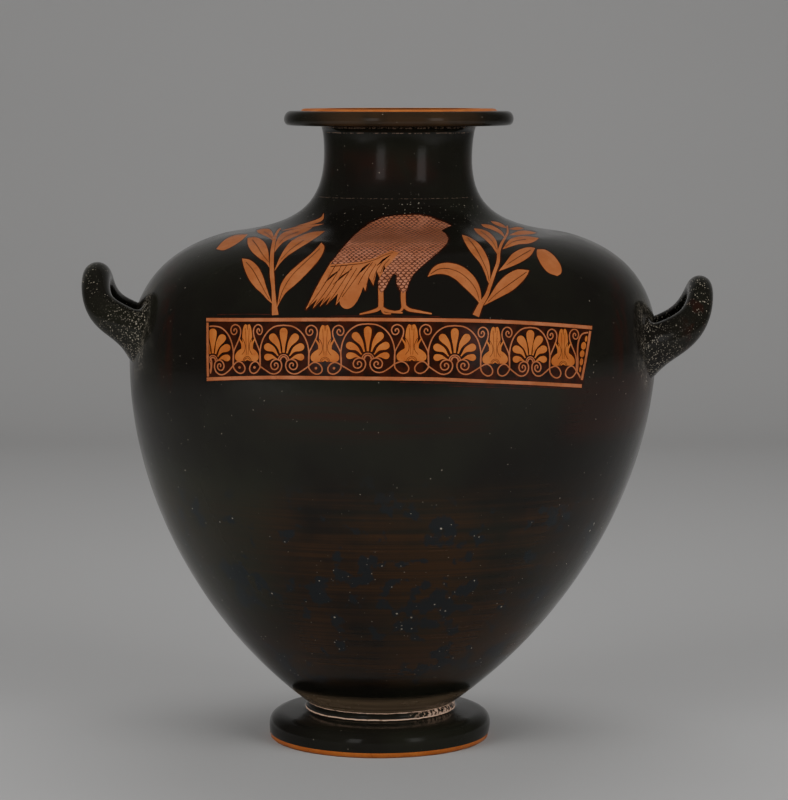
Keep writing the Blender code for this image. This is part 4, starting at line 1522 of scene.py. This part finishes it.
class Graph:
    """Writes the nodes of one material or group."""

    def __init__(self, tree: NodeTree) -> None:
        """Takes the tree to write into."""
        self.tree = tree
        self.object_place = None

    def node(self, kind: str, **settings: object) -> Node:
        """A new node with its settings."""
        made = self.tree.nodes.new(kind)
        for name, value in settings.items():
            setattr(made, name, value)
        return made

    def put(self, target: Socket, value: object) -> None:
        """Links a socket to the target, or sets the target's constant."""
        if isinstance(value, Socket):
            self.tree.links.new(value, target)
        else:
            target.default_value = value

    def place(self) -> Socket:
        """The Object coordinates."""
        if self.object_place is None:
            self.object_place = self.node("ShaderNodeTexCoord").outputs["Object"]
        return self.object_place

    def attribute(self, name: str, output: str) -> Socket:
        """A value stored on the mesh."""
        return self.node("ShaderNodeAttribute", attribute_name=name).outputs[output]

    def math(self, operation: str, first: object, second: object = 0.0) -> Socket:
        """One sum of one or two values."""
        made = self.node("ShaderNodeMath", operation=operation)
        self.put(made.inputs[0], first)
        self.put(made.inputs[1], second)
        return made.outputs[0]

    def joined(self, operation: str, values: tuple) -> Socket:
        """The values taken together in order, two at a time."""
        made = values[0]
        for value in values[1:]:
            made = self.math(operation, made, value)
        return made

    def product(self, *values: object) -> Socket:
        """All values multiplied."""
        return self.joined("MULTIPLY", values)

    def total(self, *values: object) -> Socket:
        """All values added."""
        return self.joined("ADD", values)

    def most(self, *values: object) -> Socket:
        """The greatest of the values."""
        return self.joined("MAXIMUM", values)

    def gap(self, value: object, centre: float) -> Socket:
        """How far the value is from a centre."""
        return self.math("ABSOLUTE", self.math("SUBTRACT", value, centre))

    def swing(self, value: object, amount: float) -> Socket:
        """A value from 0 to 1 laid around 0, amount wide in all."""
        return self.product(self.math("SUBTRACT", value, 0.5), amount)

    def span(
        self, value: object, low: object, high: object, to_low: float = 0.0, to_high: float = 1.0
    ) -> Socket:
        """The value's smooth way from low to high, as a value from to_low to to_high."""
        made = self.node("ShaderNodeMapRange", interpolation_type="SMOOTHSTEP")
        ends = {"Value": value, "From Min": low, "From Max": high, "To Min": to_low, "To Max": to_high}
        for name, number in ends.items():
            self.put(made.inputs[name], number)
        return made.outputs["Result"]

    def level(self, value: object, low: float, high: float, soft: float) -> Socket:
        """A zone between two values with soft ends."""
        above = self.span(value, low - soft, low + soft)
        return self.product(above, self.span(value, high + soft, high - soft))

    def stretched(self, *scale: float) -> Socket:
        """The Object coordinates multiplied along X, Y and Z."""
        made = self.node("ShaderNodeMapping")
        self.put(made.inputs["Vector"], self.place())
        made.inputs["Scale"].default_value = scale
        return made.outputs[0]

    def noise(
        self, scale: object, detail: float = 3.0, roughness: float = 0.55, vector: object = None
    ) -> Socket:
        """Soft noise from 0 to 1, on the Object coordinates or on a vector."""
        made = self.node("ShaderNodeTexNoise", noise_dimensions="3D")
        self.put(made.inputs["Vector"], self.place() if vector is None else vector)
        for name, value in (("Scale", scale), ("Detail", detail), ("Roughness", roughness)):
            self.put(made.inputs[name], value)
        return made.outputs["Fac"]

    def mix(self, factor: object, first: object, second: object) -> Socket:
        """A colour between two; the node's colours are its inputs 6 and 7 and its output 2."""
        made = self.node("ShaderNodeMix", data_type="RGBA")
        for number, value in ((0, factor), (6, first), (7, second)):
            self.put(made.inputs[number], value)
        return made.outputs[2]

    def axis(self, name: str, vector: object = None) -> Socket:
        """One of X, Y and Z of the Object coordinates or of a vector."""
        made = self.node("ShaderNodeSeparateXYZ")
        self.put(made.inputs[0], self.place() if vector is None else vector)
        return made.outputs[name]

    def bump(self, height: object, strength: float, distance: float) -> Socket:
        """A normal tilted by a height."""
        made = self.node("ShaderNodeBump")
        for name, value in (("Strength", strength), ("Distance", distance), ("Height", height)):
            self.put(made.inputs[name], value)
        return made.outputs["Normal"]

    def group(self, made_from: NodeTree, **inputs: float) -> Node:
        """A placed node group with its own values."""
        made = self.node("ShaderNodeGroup")
        made.node_tree = made_from
        for name, value in inputs.items():
            self.put(made.inputs[name], value)
        return made


class MaterialGraph(Graph):
    """Writes the nodes of one material and feeds its shader."""

    def __init__(self, name: str) -> None:
        """Starts a material of that name."""
        self.material = bpy.data.materials.new(name)
        self.material.use_nodes = True
        super().__init__(self.material.node_tree)

    def dressed(self, tone: Socket, roughness: object, reflection: float, normal: object = None) -> Material:
        """Feeds the shader and returns the material."""
        shader = self.tree.nodes["Principled BSDF"]
        self.put(shader.inputs["Base Color"], tone)
        self.put(shader.inputs["Roughness"], roughness)
        self.put(shader.inputs["Specular IOR Level"], reflection)
        if normal is not None:
            self.put(shader.inputs["Normal"], normal)
        return self.material


def new_group(name: str, inputs: dict, outputs: tuple) -> tuple:
    """An empty node group with number inputs and number outputs.

    Args:
        name: the group's name.
        inputs: input names with their usual values.
        outputs: output names.

    Returns:
        The group's tree, its writer, the input node and the output node.
    """
    tree = bpy.data.node_groups.new(name, "ShaderNodeTree")
    for title, value in inputs.items():
        socket = tree.interface.new_socket(name=title, in_out="INPUT", socket_type="NodeSocketFloat")
        socket.default_value = value
    for title in outputs:
        tree.interface.new_socket(name=title, in_out="OUTPUT", socket_type="NodeSocketFloat")
    graph = Graph(tree)
    return tree, graph, graph.node("NodeGroupInput"), graph.node("NodeGroupOutput")


class SharedEffects:
    """The node groups that more than one finish uses."""

    def __init__(self) -> None:
        """Builds each group once."""
        self.specks = self.build_specks()
        self.wheel = self.build_wheel()
        self.unevenness = self.build_unevenness()

    def build_specks(self) -> NodeTree:
        """Flecks: cells nearer than a size, which clouds and a draw for each cell make smaller or nothing."""
        usual = {"Scale": 300, "Amount": 0.2, "Share": 0.5, "Clouds": 0.46}
        tree, graph, given, out = new_group("specks", usual, ("Mask",))
        wobble = graph.node("ShaderNodeTexNoise")
        wobble.inputs["Scale"].default_value = 1100.0
        graph.put(wobble.inputs["Vector"], graph.place())
        bent = graph.node("ShaderNodeVectorMath", operation="MULTIPLY_ADD")
        graph.put(bent.inputs[0], wobble.outputs["Color"])
        bent.inputs[1].default_value = (0.0007, 0.0007, 0.0007)
        graph.put(bent.inputs[2], graph.place())
        cells = graph.node("ShaderNodeTexVoronoi", feature="F1")
        graph.put(cells.inputs["Vector"], bent.outputs[0])
        graph.put(cells.inputs["Scale"], given.outputs["Scale"])
        drawn, size_drawn = (graph.axis(name, cells.outputs["Color"]) for name in "XY")
        few = graph.math("SUBTRACT", 1, given.outputs["Share"])
        chosen = graph.span(drawn, few, graph.total(few, 0.12))
        clouds = given.outputs["Clouds"]
        thick = graph.span(graph.noise(38, 4, 0.65), clouds, graph.total(clouds, 0.22))
        uneven = graph.span(size_drawn, 0, 1, 0.55, 1.25)
        size = graph.product(thick, chosen, given.outputs["Amount"], uneven)
        mask = graph.math("SUBTRACT", size, cells.outputs["Distance"])
        graph.put(out.inputs["Mask"], graph.span(mask, 0, 0.05))
        return tree

    def build_wheel(self) -> NodeTree:
        """Fine level lines left by brush and wheel: noise stretched around the jar, at two widths."""
        tree, graph, given, out = new_group("wheel_lines", {"Fine": 1.0}, ("Lines", "Streaks"))
        fine = graph.noise(1, 3, 0.6, graph.stretched(5, 5, 900))
        graph.put(out.inputs["Lines"], graph.product(fine, given.outputs["Fine"]))
        graph.put(out.inputs["Streaks"], graph.noise(1, 4, 0.6, graph.stretched(7, 7, 260)))
        return tree

    def build_unevenness(self) -> NodeTree:
        """The soft waves of hand-smoothed clay."""
        tree, graph, given, out = new_group("unevenness", {"Scale": 22.0}, ("Height",))
        wide = graph.noise(given.outputs["Scale"], 2, 0.5, graph.stretched(0.7, 0.7, 1.6))
        small = graph.noise(260, 2, 0.5)
        graph.put(out.inputs["Height"], graph.total(graph.product(wide, 0.9), graph.product(small, 0.1)))
        return tree

    def flecks(self, graph: Graph, scale: float, amount: float, share: float, clouds: float) -> Socket:
        """Flecks placed in a graph.

        Args:
            graph: the graph of the finish.
            scale: cells in a metre.
            amount: size of the largest fleck as a share of its cell.
            share: how many of the cells hold a fleck.
            clouds: where on their scale the clouds begin to hold flecks.

        Returns:
            The mask, 1 on a fleck.
        """
        placed = graph.group(self.specks, Scale=scale, Amount=amount, Share=share, Clouds=clouds)
        return placed.outputs["Mask"]

    def waves(self, graph: Graph) -> Socket:
        """The height of the clay's soft waves."""
        return graph.group(self.unevenness).outputs["Height"]


@dataclass(frozen=True)
class GlossFinish:
    """Glossy black slip that fired brown in places, with fine lines, flecks and chalky dirt in the grooves.

    Two heights of a zone are its lower and upper edge. Any other pair says where a zone is nothing and
    where it is full. A chalk line is its height, half its width and its strength.
    """

    black: tuple = linear(22, 20, 17)
    olive: tuple = linear(27, 27, 21)
    far_olive: tuple = linear(33, 34, 26)
    brown: tuple = linear(50, 33, 18)
    red_brown: tuple = linear(36, 20, 15)
    earth: tuple = linear(100, 85, 67)
    lip_brown: tuple = linear(54, 40, 27)
    blue_black: tuple = linear(24, 29, 32)
    chalk: tuple = linear(192, 182, 164)
    groove_chalk: tuple = linear(196, 164, 142)
    roughness: float = 0.14
    reflection: float = 0.20
    brown_top: tuple = (0.182, 0.152)
    brown_foot: tuple = (0.040, 0.050)
    brown_middle: float = 0.014
    brown_sides: tuple = (0.112, 0.055)
    olive_side: tuple = (-0.050, -0.088)
    olive_heights: tuple = (0.085, 0.185)
    red_front_middle: float = -0.014
    red_front: tuple = (0.078, 0.048)
    red_front_heights: tuple = (0.204, 0.226)
    red_side: tuple = (0.085, 0.105)
    red_side_heights: tuple = (0.196, 0.232)
    red_neck_heights: tuple = (0.343, 0.359)
    edge_bands: tuple = (-0.1345, 0.1290)
    edge_band_width: tuple = (0.0070, 0.0010)
    edge_band_heights: tuple = (0.226, 0.300)
    earth_foot: tuple = (0.0230, 0.0240)
    earth_top: tuple = (0.0370, 0.0310)
    lip_front: tuple = (0.062, 0.030)
    lip_heights: tuple = (0.3745, 0.3845)
    neck_fleck_heights: tuple = (0.318, 0.334)
    root_reach: tuple = (0.040, 0.016)
    handle_red_side: tuple = (0.165, 0.178)
    crust_side: tuple = (0.004, 0.024)
    crust_heights: tuple = (0.0186, 0.0228)
    groove_lines: tuple = ((0.0187, 0.00042, 0.85), (0.0226, 0.00040, 0.85))
    dotted_lines: tuple = ((0.3709, 0.00030, 0.30), (0.3740, 0.00060, 0.22), (0.3325, 0.00022, 0.12))

    def make(self, name: str, effects: SharedEffects, roots: list | None = None) -> Material:
        """Builds the material for the jar, or for a handle when no roots are given.

        Args:
            name: the material's name.
            effects: the shared node groups.
            roots: places on the jar where the handles grow, as points; None for a handle's own finish.

        Returns:
            The material.
        """
        graph = MaterialGraph(name)
        tone = graph.mix(graph.span(graph.noise(9, 4), 0.42, 0.64), self.black, self.olive)
        height = effects.waves(graph)
        if roots is None:
            tone, chalk, matt = self.on_handle(graph, effects, tone)
        else:
            wheel = graph.group(effects.wheel)
            tone, chalk, matt = self.on_jar(graph, effects, tone, wheel, roots)
            height = graph.total(height, graph.product(wheel.outputs["Lines"], 0.05))
        uneven = graph.span(graph.noise(46, 4), 0.3, 0.7, -0.03, 0.05)
        dull = graph.total(graph.product(matt, 0.10), graph.product(chalk, 0.45), self.roughness, uneven)
        height = graph.total(height, graph.product(chalk, 0.10))
        tone = graph.mix(chalk, tone, self.chalk)
        return graph.dressed(tone, dull, self.reflection, graph.bump(height, 0.25, 0.0016))

    def on_jar(
        self, graph: Graph, effects: SharedEffects, tone: Socket, wheel: Node, roots: list
    ) -> tuple:
        """The jar's brown zones, blots, flecks and grooves: the tone, the chalk mask and the matt mask."""
        x, z = graph.axis("X"), graph.axis("Z")
        streaks, lines = wheel.outputs["Streaks"], wheel.outputs["Lines"]
        fine = graph.span(lines, 0.34, 0.62, 0.45, 1)
        clouds = graph.noise(13, 4, 0.6)
        bent = graph.total(z, graph.swing(clouds, 0.05))
        low = graph.product(graph.span(bent, *self.brown_top), graph.span(z, *self.brown_foot))
        middle = graph.span(graph.gap(x, self.brown_middle), *self.brown_sides, 0.25, 1)
        fired = graph.span(graph.total(graph.product(clouds, 0.6), graph.product(streaks, 0.4)), 0.36, 0.60)
        brown = graph.product(low, middle, fired, fine)
        olive = graph.level(bent, *self.olive_heights, 0.02)
        olive = graph.product(olive, graph.span(x, *self.olive_side), 0.9)
        earth = graph.product(graph.span(z, *self.earth_foot), graph.span(z, *self.earth_top))
        earth = graph.product(earth, graph.span(streaks, 0.30, 0.55, 0.5, 1))
        lip_front = graph.span(graph.gap(x, 0), *self.lip_front)
        lip_patches = graph.span(graph.noise(24, 3), 0.36, 0.58, 0.2, 0.8)
        lip = graph.product(graph.level(z, *self.lip_heights, 0.0008), lip_front, lip_patches)
        red = self.red_zones(graph, x, z, wheel, fine)
        small, wide = graph.noise(105, 3), graph.noise(30, 2)
        mixed = graph.total(graph.product(small, 0.55), graph.product(wide, 0.45))
        blots = graph.product(graph.span(mixed, 0.535, 0.585), low)
        grooves = self.chalk_lines(graph, x, z)
        for zone, colour in (
            (olive, self.far_olive),
            (red, self.red_brown),
            (brown, self.brown),
            (earth, self.earth),
            (lip, self.lip_brown),
            (graph.product(blots, 0.85), self.blue_black),
            (grooves, self.groove_chalk),
        ):
            tone = graph.mix(zone, tone, colour)
        return tone, self.chalk_on_jar(graph, effects, z, blots, roots), graph.most(brown, earth, grooves)

    def red_zones(self, graph: Graph, x: Socket, z: Socket, wheel: Node, fine: Socket) -> Socket:
        """Red-brown slip: streaks under the frieze, a side, the neck, and upright bands at both edges."""
        streaks, lines = wheel.outputs["Streaks"], wheel.outputs["Lines"]
        drifted = graph.total(z, graph.swing(lines, 0.016))
        under = graph.product(
            graph.level(drifted, *self.red_front_heights, 0.005),
            graph.span(graph.gap(x, self.red_front_middle), *self.red_front),
            graph.span(streaks, 0.40, 0.56, 0, 0.9),
            graph.span(lines, 0.42, 0.56, 0.2, 1),
        )
        side = graph.level(z, *self.red_side_heights, 0.006)
        side = graph.product(side, graph.span(x, *self.red_side), fine, 0.8)
        patches = graph.span(graph.noise(26, 3), 0.40, 0.62)
        neck = graph.product(graph.level(z, *self.red_neck_heights, 0.006), patches, 0.65)
        tall = graph.span(graph.noise(1, 3, 0.6, graph.stretched(240, 240, 22)), 0.40, 0.62)
        near = [graph.span(graph.gap(x, centre), *self.edge_band_width) for centre in self.edge_bands]
        bands = graph.product(graph.most(*near), tall, 0.8, graph.level(z, *self.edge_band_heights, 0.010))
        return graph.most(under, neck, bands, side)

    def chalk_on_jar(
        self, graph: Graph, effects: SharedEffects, z: Socket, blots: Socket, roots: list
    ) -> Socket:
        """Flecks all over, in the blots and at the neck's foot, and worn chalk by the handles' roots."""
        close = []
        for root in roots:
            away = graph.node("ShaderNodeVectorMath", operation="DISTANCE")
            graph.put(away.inputs[0], graph.place())
            away.inputs[1].default_value = tuple(root)
            close.append(graph.span(away.outputs["Value"], *self.root_reach))
        near = graph.product(graph.most(*close), graph.span(graph.noise(55, 3, 0.6), 0.40, 0.62))
        tall = graph.span(graph.noise(1, 3, 0.7, graph.stretched(800, 800, 90)), 0.52, 0.66)
        worn = graph.most(effects.flecks(graph, 900, 0.48, 0.75, 0.20), graph.product(tall, 0.8))
        at_neck = graph.level(z, *self.neck_fleck_heights, 0.005)
        return graph.most(
            graph.product(effects.flecks(graph, 480, 0.17, 0.16, 0.30), 0.26),
            graph.product(effects.flecks(graph, 130, 0.065, 0.10, 0.22), 0.50),
            graph.product(effects.flecks(graph, 360, 0.19, 0.32, 0.20), blots, 0.5),
            graph.product(effects.flecks(graph, 620, 0.24, 0.40, 0.30), at_neck, 0.26),
            graph.product(worn, near, 0.26),
        )

    def on_handle(self, graph: Graph, effects: SharedEffects, tone: Socket) -> tuple:
        """A handle's flecks, denser by its roots, and red patches: the tone, the chalk and the matt mask."""
        near = graph.span(graph.attribute("root_nearness", "Fac"), 0, 0.75)
        patches = graph.span(graph.noise(60, 3), 0.52, 0.62)
        red = graph.product(patches, graph.span(graph.axis("X"), *self.handle_red_side), 0.8)
        dense = graph.product(effects.flecks(graph, 860, 0.36, 0.80, 0.12), near, 0.30)
        sparse = graph.product(effects.flecks(graph, 760, 0.36, 0.55, 0.32), 0.34)
        return graph.mix(red, tone, self.red_brown), graph.most(dense, sparse), red

    def chalk_lines(self, graph: Graph, x: Socket, z: Socket) -> Socket:
        """Chalk in the two grooves at the fillet and, in dots, under the lip and at the neck's foot."""
        at = graph.total(z, graph.swing(graph.noise(140, 3), 0.0008))
        broken = graph.span(graph.noise(230, 4, 0.7), 0.34, 0.50, 0.35, 1)
        dots = graph.span(graph.noise(620, 2), 0.48, 0.56)
        found = []
        for lines, breaks in ((self.groove_lines, broken), (self.dotted_lines, dots)):
            for height, half, strength in lines:
                line = graph.span(graph.gap(at, height), half, 0.4 * half)
                found.append(graph.product(line, strength, breaks))
        crust = graph.span(graph.noise(420, 3, 0.7), 0.46, 0.58)
        between = graph.product(graph.level(z, *self.crust_heights, 0.0003), graph.span(x, *self.crust_side))
        return graph.most(*found, graph.product(between, crust, 0.8))


@dataclass(frozen=True)
class ClayFinish:
    """Orange clay left bare by the slip, a little darker in clouds, with dark pores and thin dark dirt."""

    light: tuple = linear(168, 98, 46)
    dark: tuple = linear(150, 80, 36)
    dirt: tuple = linear(92, 46, 24)
    roughness: float = 0.36
    reflection: float = 0.16

    def colour(self, graph: Graph, effects: SharedEffects) -> Socket:
        """The clay's colour with its clouds, pores and stains."""
        tone = graph.mix(graph.span(graph.noise(70, 5, 0.65), 0.34, 0.68), self.dark, self.light)
        stains = graph.product(graph.span(graph.noise(240, 4, 0.7), 0.55, 0.74), 0.40)
        pores = graph.product(effects.flecks(graph, 620, 0.22, 0.4, 0.3), 0.5)
        return graph.mix(graph.most(stains, pores), tone, self.dirt)

    def make(self, name: str, effects: SharedEffects) -> Material:
        """Builds the material and returns it."""
        graph = MaterialGraph(name)
        dull = graph.span(graph.noise(90, 3), 0.3, 0.7, self.roughness, self.roughness + 0.12)
        normal = graph.bump(effects.waves(graph), 0.20, 0.0012)
        return graph.dressed(self.colour(graph, effects), dull, self.reflection, normal)


@dataclass(frozen=True)
class PlumageFinish:
    """Bare clay under a net of thin dark scales that follows the surface."""

    clay: ClayFinish = ClayFinish(light=linear(166, 110, 86), dark=linear(148, 92, 66))
    line: tuple = linear(46, 20, 14)
    scale_width: float = 0.0030
    scale_height: float = 0.0021
    roughness: float = 0.36
    reflection: float = 0.20

    def make(self, name: str, effects: SharedEffects) -> Material:
        """Builds the material: rows of half circles, every other row moved by half a scale.

        In a row, u goes from -1 to 1 across a scale and v from 0 to 2 up two rows, and the line lies
        where the root of u squared plus (1 - v) squared is 1, below v = 1.
        """
        graph = MaterialGraph(name)
        lie = graph.attribute("lie", "Vector")
        wobble = graph.swing(graph.noise(170, 2, 0.5, lie), 0.9)
        shift = graph.swing(graph.noise(120, 2, 0.5, lie), 1.2)
        across = graph.total(graph.math("DIVIDE", graph.axis("X", lie), self.scale_width), shift)
        up = graph.total(graph.math("DIVIDE", graph.axis("Y", lie), self.scale_height), wobble)
        nets = []
        for row in (0, 1):
            u = graph.math("SUBTRACT", graph.math("FRACT", graph.total(across, 0.5 * row)), 0.5)
            v = graph.product(graph.math("FRACT", graph.product(graph.total(up, row), 0.5)), 2)
            down = graph.math("SUBTRACT", 1, v)
            square = graph.total(graph.product(u, u, 4), graph.product(down, down))
            line = graph.span(graph.gap(graph.math("SQRT", square), 1), 0.33, 0.15)
            nets.append(graph.product(line, graph.span(v, 1.12, 0.96)))
        net = graph.most(*nets)
        worn = graph.span(graph.noise(110, 4, 0.6, lie), 0.30, 0.52, 0.62, 1)
        tone = graph.mix(graph.product(net, worn, 0.92), self.clay.colour(graph, effects), self.line)
        height = graph.total(effects.waves(graph), graph.product(net, 0.05))
        return graph.dressed(tone, self.roughness, self.reflection, graph.bump(height, 0.20, 0.0012))


@dataclass(frozen=True)
class LineFinish:
    """Slip drawn as a thin line, dense or thinned to brown."""

    dense: tuple
    thin: tuple
    roughness: float
    reflection: float = 0.15

    def make(self, name: str) -> Material:
        """Builds the material and returns it."""
        graph = MaterialGraph(name)
        tone = graph.mix(graph.span(graph.noise(180, 3), 0.35, 0.65), self.dense, self.thin)
        return graph.dressed(tone, self.roughness, self.reflection)


@dataclass
class Studio:
    """A pale floor that sweeps up behind the jar, soft lights and the camera."""

    view: Viewpoint
    foot_x: float
    floor_tone: tuple = linear(172, 171, 170)
    clouding: float = 0.97
    sweep_front: float = 1.30
    sweep_back: float = 1.5
    sweep_radius: float = 0.9
    sweep_top: float = 3.0
    sweep_half_width: float = 4.0
    aim_height: float = 0.22
    surround: float = 0.05

    def build(self) -> None:
        """Makes the floor, the lights, the surroundings and the camera."""
        self.floor()
        self.lights()
        self.camera()

    def floor(self) -> None:
        """The floor and backdrop in one sheet: level, then a quarter circle, then upright."""
        bend = np.linspace(0.0, 0.5 * math.pi, 24)
        line = [(-self.sweep_front, 0.0), (0.0, 0.0)]
        radius = self.sweep_radius
        line += [(self.sweep_back + radius * math.sin(a), radius * (1.0 - math.cos(a))) for a in bend]
        line.append((self.sweep_back + radius, self.sweep_top))
        profile = np.array(line)
        across = np.linspace(-self.sweep_half_width, self.sweep_half_width, 9)
        grid = np.stack(np.broadcast_arrays(across[None, :], profile[:, 0:1], profile[:, 1:2]), axis=2)
        piece = Piece("studio_floor")
        piece.points = grid.reshape(-1, 3)
        piece.add_faces(grid_quads(*grid.shape[:2], closed=False).reshape(-1, 4), 0)
        floor = piece.build()
        paper = MaterialGraph("studio_paper")
        shaded = (*(self.clouding * c for c in self.floor_tone[:3]), 1.0)
        tone = paper.mix(paper.noise(3.0, 2.0), self.floor_tone, shaded)
        floor.data.materials.append(paper.dressed(tone, 0.85, 0.1))

    def lights(self) -> None:
        """Two strips that the gloss mirrors, three broad panels that it doesn't, and a dim surrounding."""
        aim = Vector((self.foot_x, 0.0, self.aim_height))
        for name, turn, height, away, size, power, mirrored in (
            ("strip_left", -26.0, 0.60, 1.9, (0.45, 1.0), 2.2, True),
            ("strip_right", 37.0, 0.60, 1.9, (0.45, 1.0), 2.2, True),
            ("panel_left", -48.0, 0.85, 1.9, (1.3, 1.5), 34.0, False),
            ("panel_right", 48.0, 0.85, 1.9, (1.3, 1.5), 34.0, False),
            ("panel_top", 170.0, 2.2, 0.7, (1.6, 1.0), 20.0, False),
        ):
            light = bpy.data.lights.new(name, "AREA")
            light.shape = "RECTANGLE"
            light.size, light.size_y = size
            light.energy = power
            lamp = bpy.data.objects.new(name, light)
            lamp.visible_glossy = mirrored
            angle = math.radians(turn)
            lamp.location = (aim.x + away * math.sin(angle), -away * math.cos(angle), height)
            lamp.rotation_euler = (aim - lamp.location).to_track_quat("-Z", "Y").to_euler()
            bpy.context.scene.collection.objects.link(lamp)
        world = bpy.data.worlds.new("studio")
        world.use_nodes = True
        background = world.node_tree.nodes["Background"]
        background.inputs["Color"].default_value = (1.0, 1.0, 1.0, 1.0)
        background.inputs["Strength"].default_value = self.surround
        bpy.context.scene.world = world

    def camera(self) -> None:
        """The camera at the viewpoint; its lens is the reach over the sheet's long side, times the sensor."""
        lens = bpy.data.cameras.new("viewer")
        lens.sensor_fit = "AUTO"
        lens.sensor_width = self.view.sensor
        lens.lens = self.view.reach / self.view.sheet_height * self.view.sensor
        lens.clip_start, lens.clip_end = 0.1, 20.0
        camera = bpy.data.objects.new("viewer", lens)
        camera.location = self.view.eye(self.foot_x)
        camera.rotation_euler = Euler((0.5 * math.pi - self.view.pitch, 0.0, 0.0))
        bpy.context.scene.collection.objects.link(camera)
        bpy.context.scene.camera = camera


def declare(piece: Object) -> None:
    """Hangs the piece on its body, hides the part that it stands for, and logs its points and faces."""
    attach(piece, BODY)
    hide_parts(NODE)
    log.info("%s: %d points, %d faces", piece.name, len(piece.data.vertices), len(piece.data.polygons))


def main() -> None:
    logging.basicConfig(level=logging.INFO, format="%(name)s: %(message)s")
    foot = next(mount for mount in frame["record"]["mounts"] if mount["name"] == "foot")
    foot_x = foot["pos_m"][0]
    sizes = JarSizes()
    wall = Wall(sizes, foot_x)
    view = Viewpoint()
    effects = SharedEffects()

    handles = (
        SideHandle("left_handle", wall, side=-1.0, root_above_belly=0.0064, reach=0.0199, rise=0.0374),
        SideHandle(
            "right_handle",
            wall,
            side=1.0,
            root_above_belly=-0.0023,
            reach=0.0265,
            rise=0.0390,
            start_slope=1.3,
            hook=0.0040,
            tip_radius=0.0074,
            limb_half_height=0.0122,
            limb_half_width=0.0102,
        ),
        BackHandle("back_handle", wall),
    )
    roots = [point for handle in handles[:2] for point in handle.root_points()]

    drawing = Drawing()
    LEFT_SPRAY.draw(drawing)
    RIGHT_SPRAY.draw(drawing)
    Bird().draw(drawing)
    Frieze().draw(drawing)
    jar = Jar(sizes, wall, view).build(drawing)
    gloss = GlossFinish()
    plain_clay = ClayFinish(linear(150, 96, 64), linear(118, 74, 52), linear(70, 46, 36), 0.75)
    finishes = {
        Finish.GLOSS: gloss.make("black_gloss_slip", effects, roots),
        Finish.CLAY: ClayFinish().make("reserved_clay", effects),
        Finish.RELIEF: LineFinish(linear(44, 22, 15), linear(78, 40, 24), 0.35).make("relief_line"),
        Finish.EDGE: LineFinish(linear(50, 21, 12), linear(29, 17, 12), 0.20).make("slip_round_figures"),
        Finish.LEAF: ClayFinish(linear(156, 94, 56), linear(140, 80, 45)).make("clay_leaf", effects),
        Finish.DILUTE: LineFinish(linear(60, 24, 16), linear(36, 18, 14), 0.30).make("thinned_slip"),
        Finish.PLUMAGE: PlumageFinish().make("scaled_plumage", effects),
        Finish.TENDRIL: ClayFinish(linear(156, 95, 64), linear(138, 79, 49)).make("thin_clay_line", effects),
        Finish.RAW: plain_clay.make("plain_clay", effects),
    }
    for finish in sorted(finishes):
        jar.data.materials.append(finishes[finish])
    declare(jar)

    handle_gloss = gloss.make("handle_gloss_slip", effects)
    for handle in handles:
        made = handle.build()
        made.data.materials.append(handle_gloss)
        declare(made)

    Studio(view, foot_x).build()


if __name__ == "__main__":
    main()
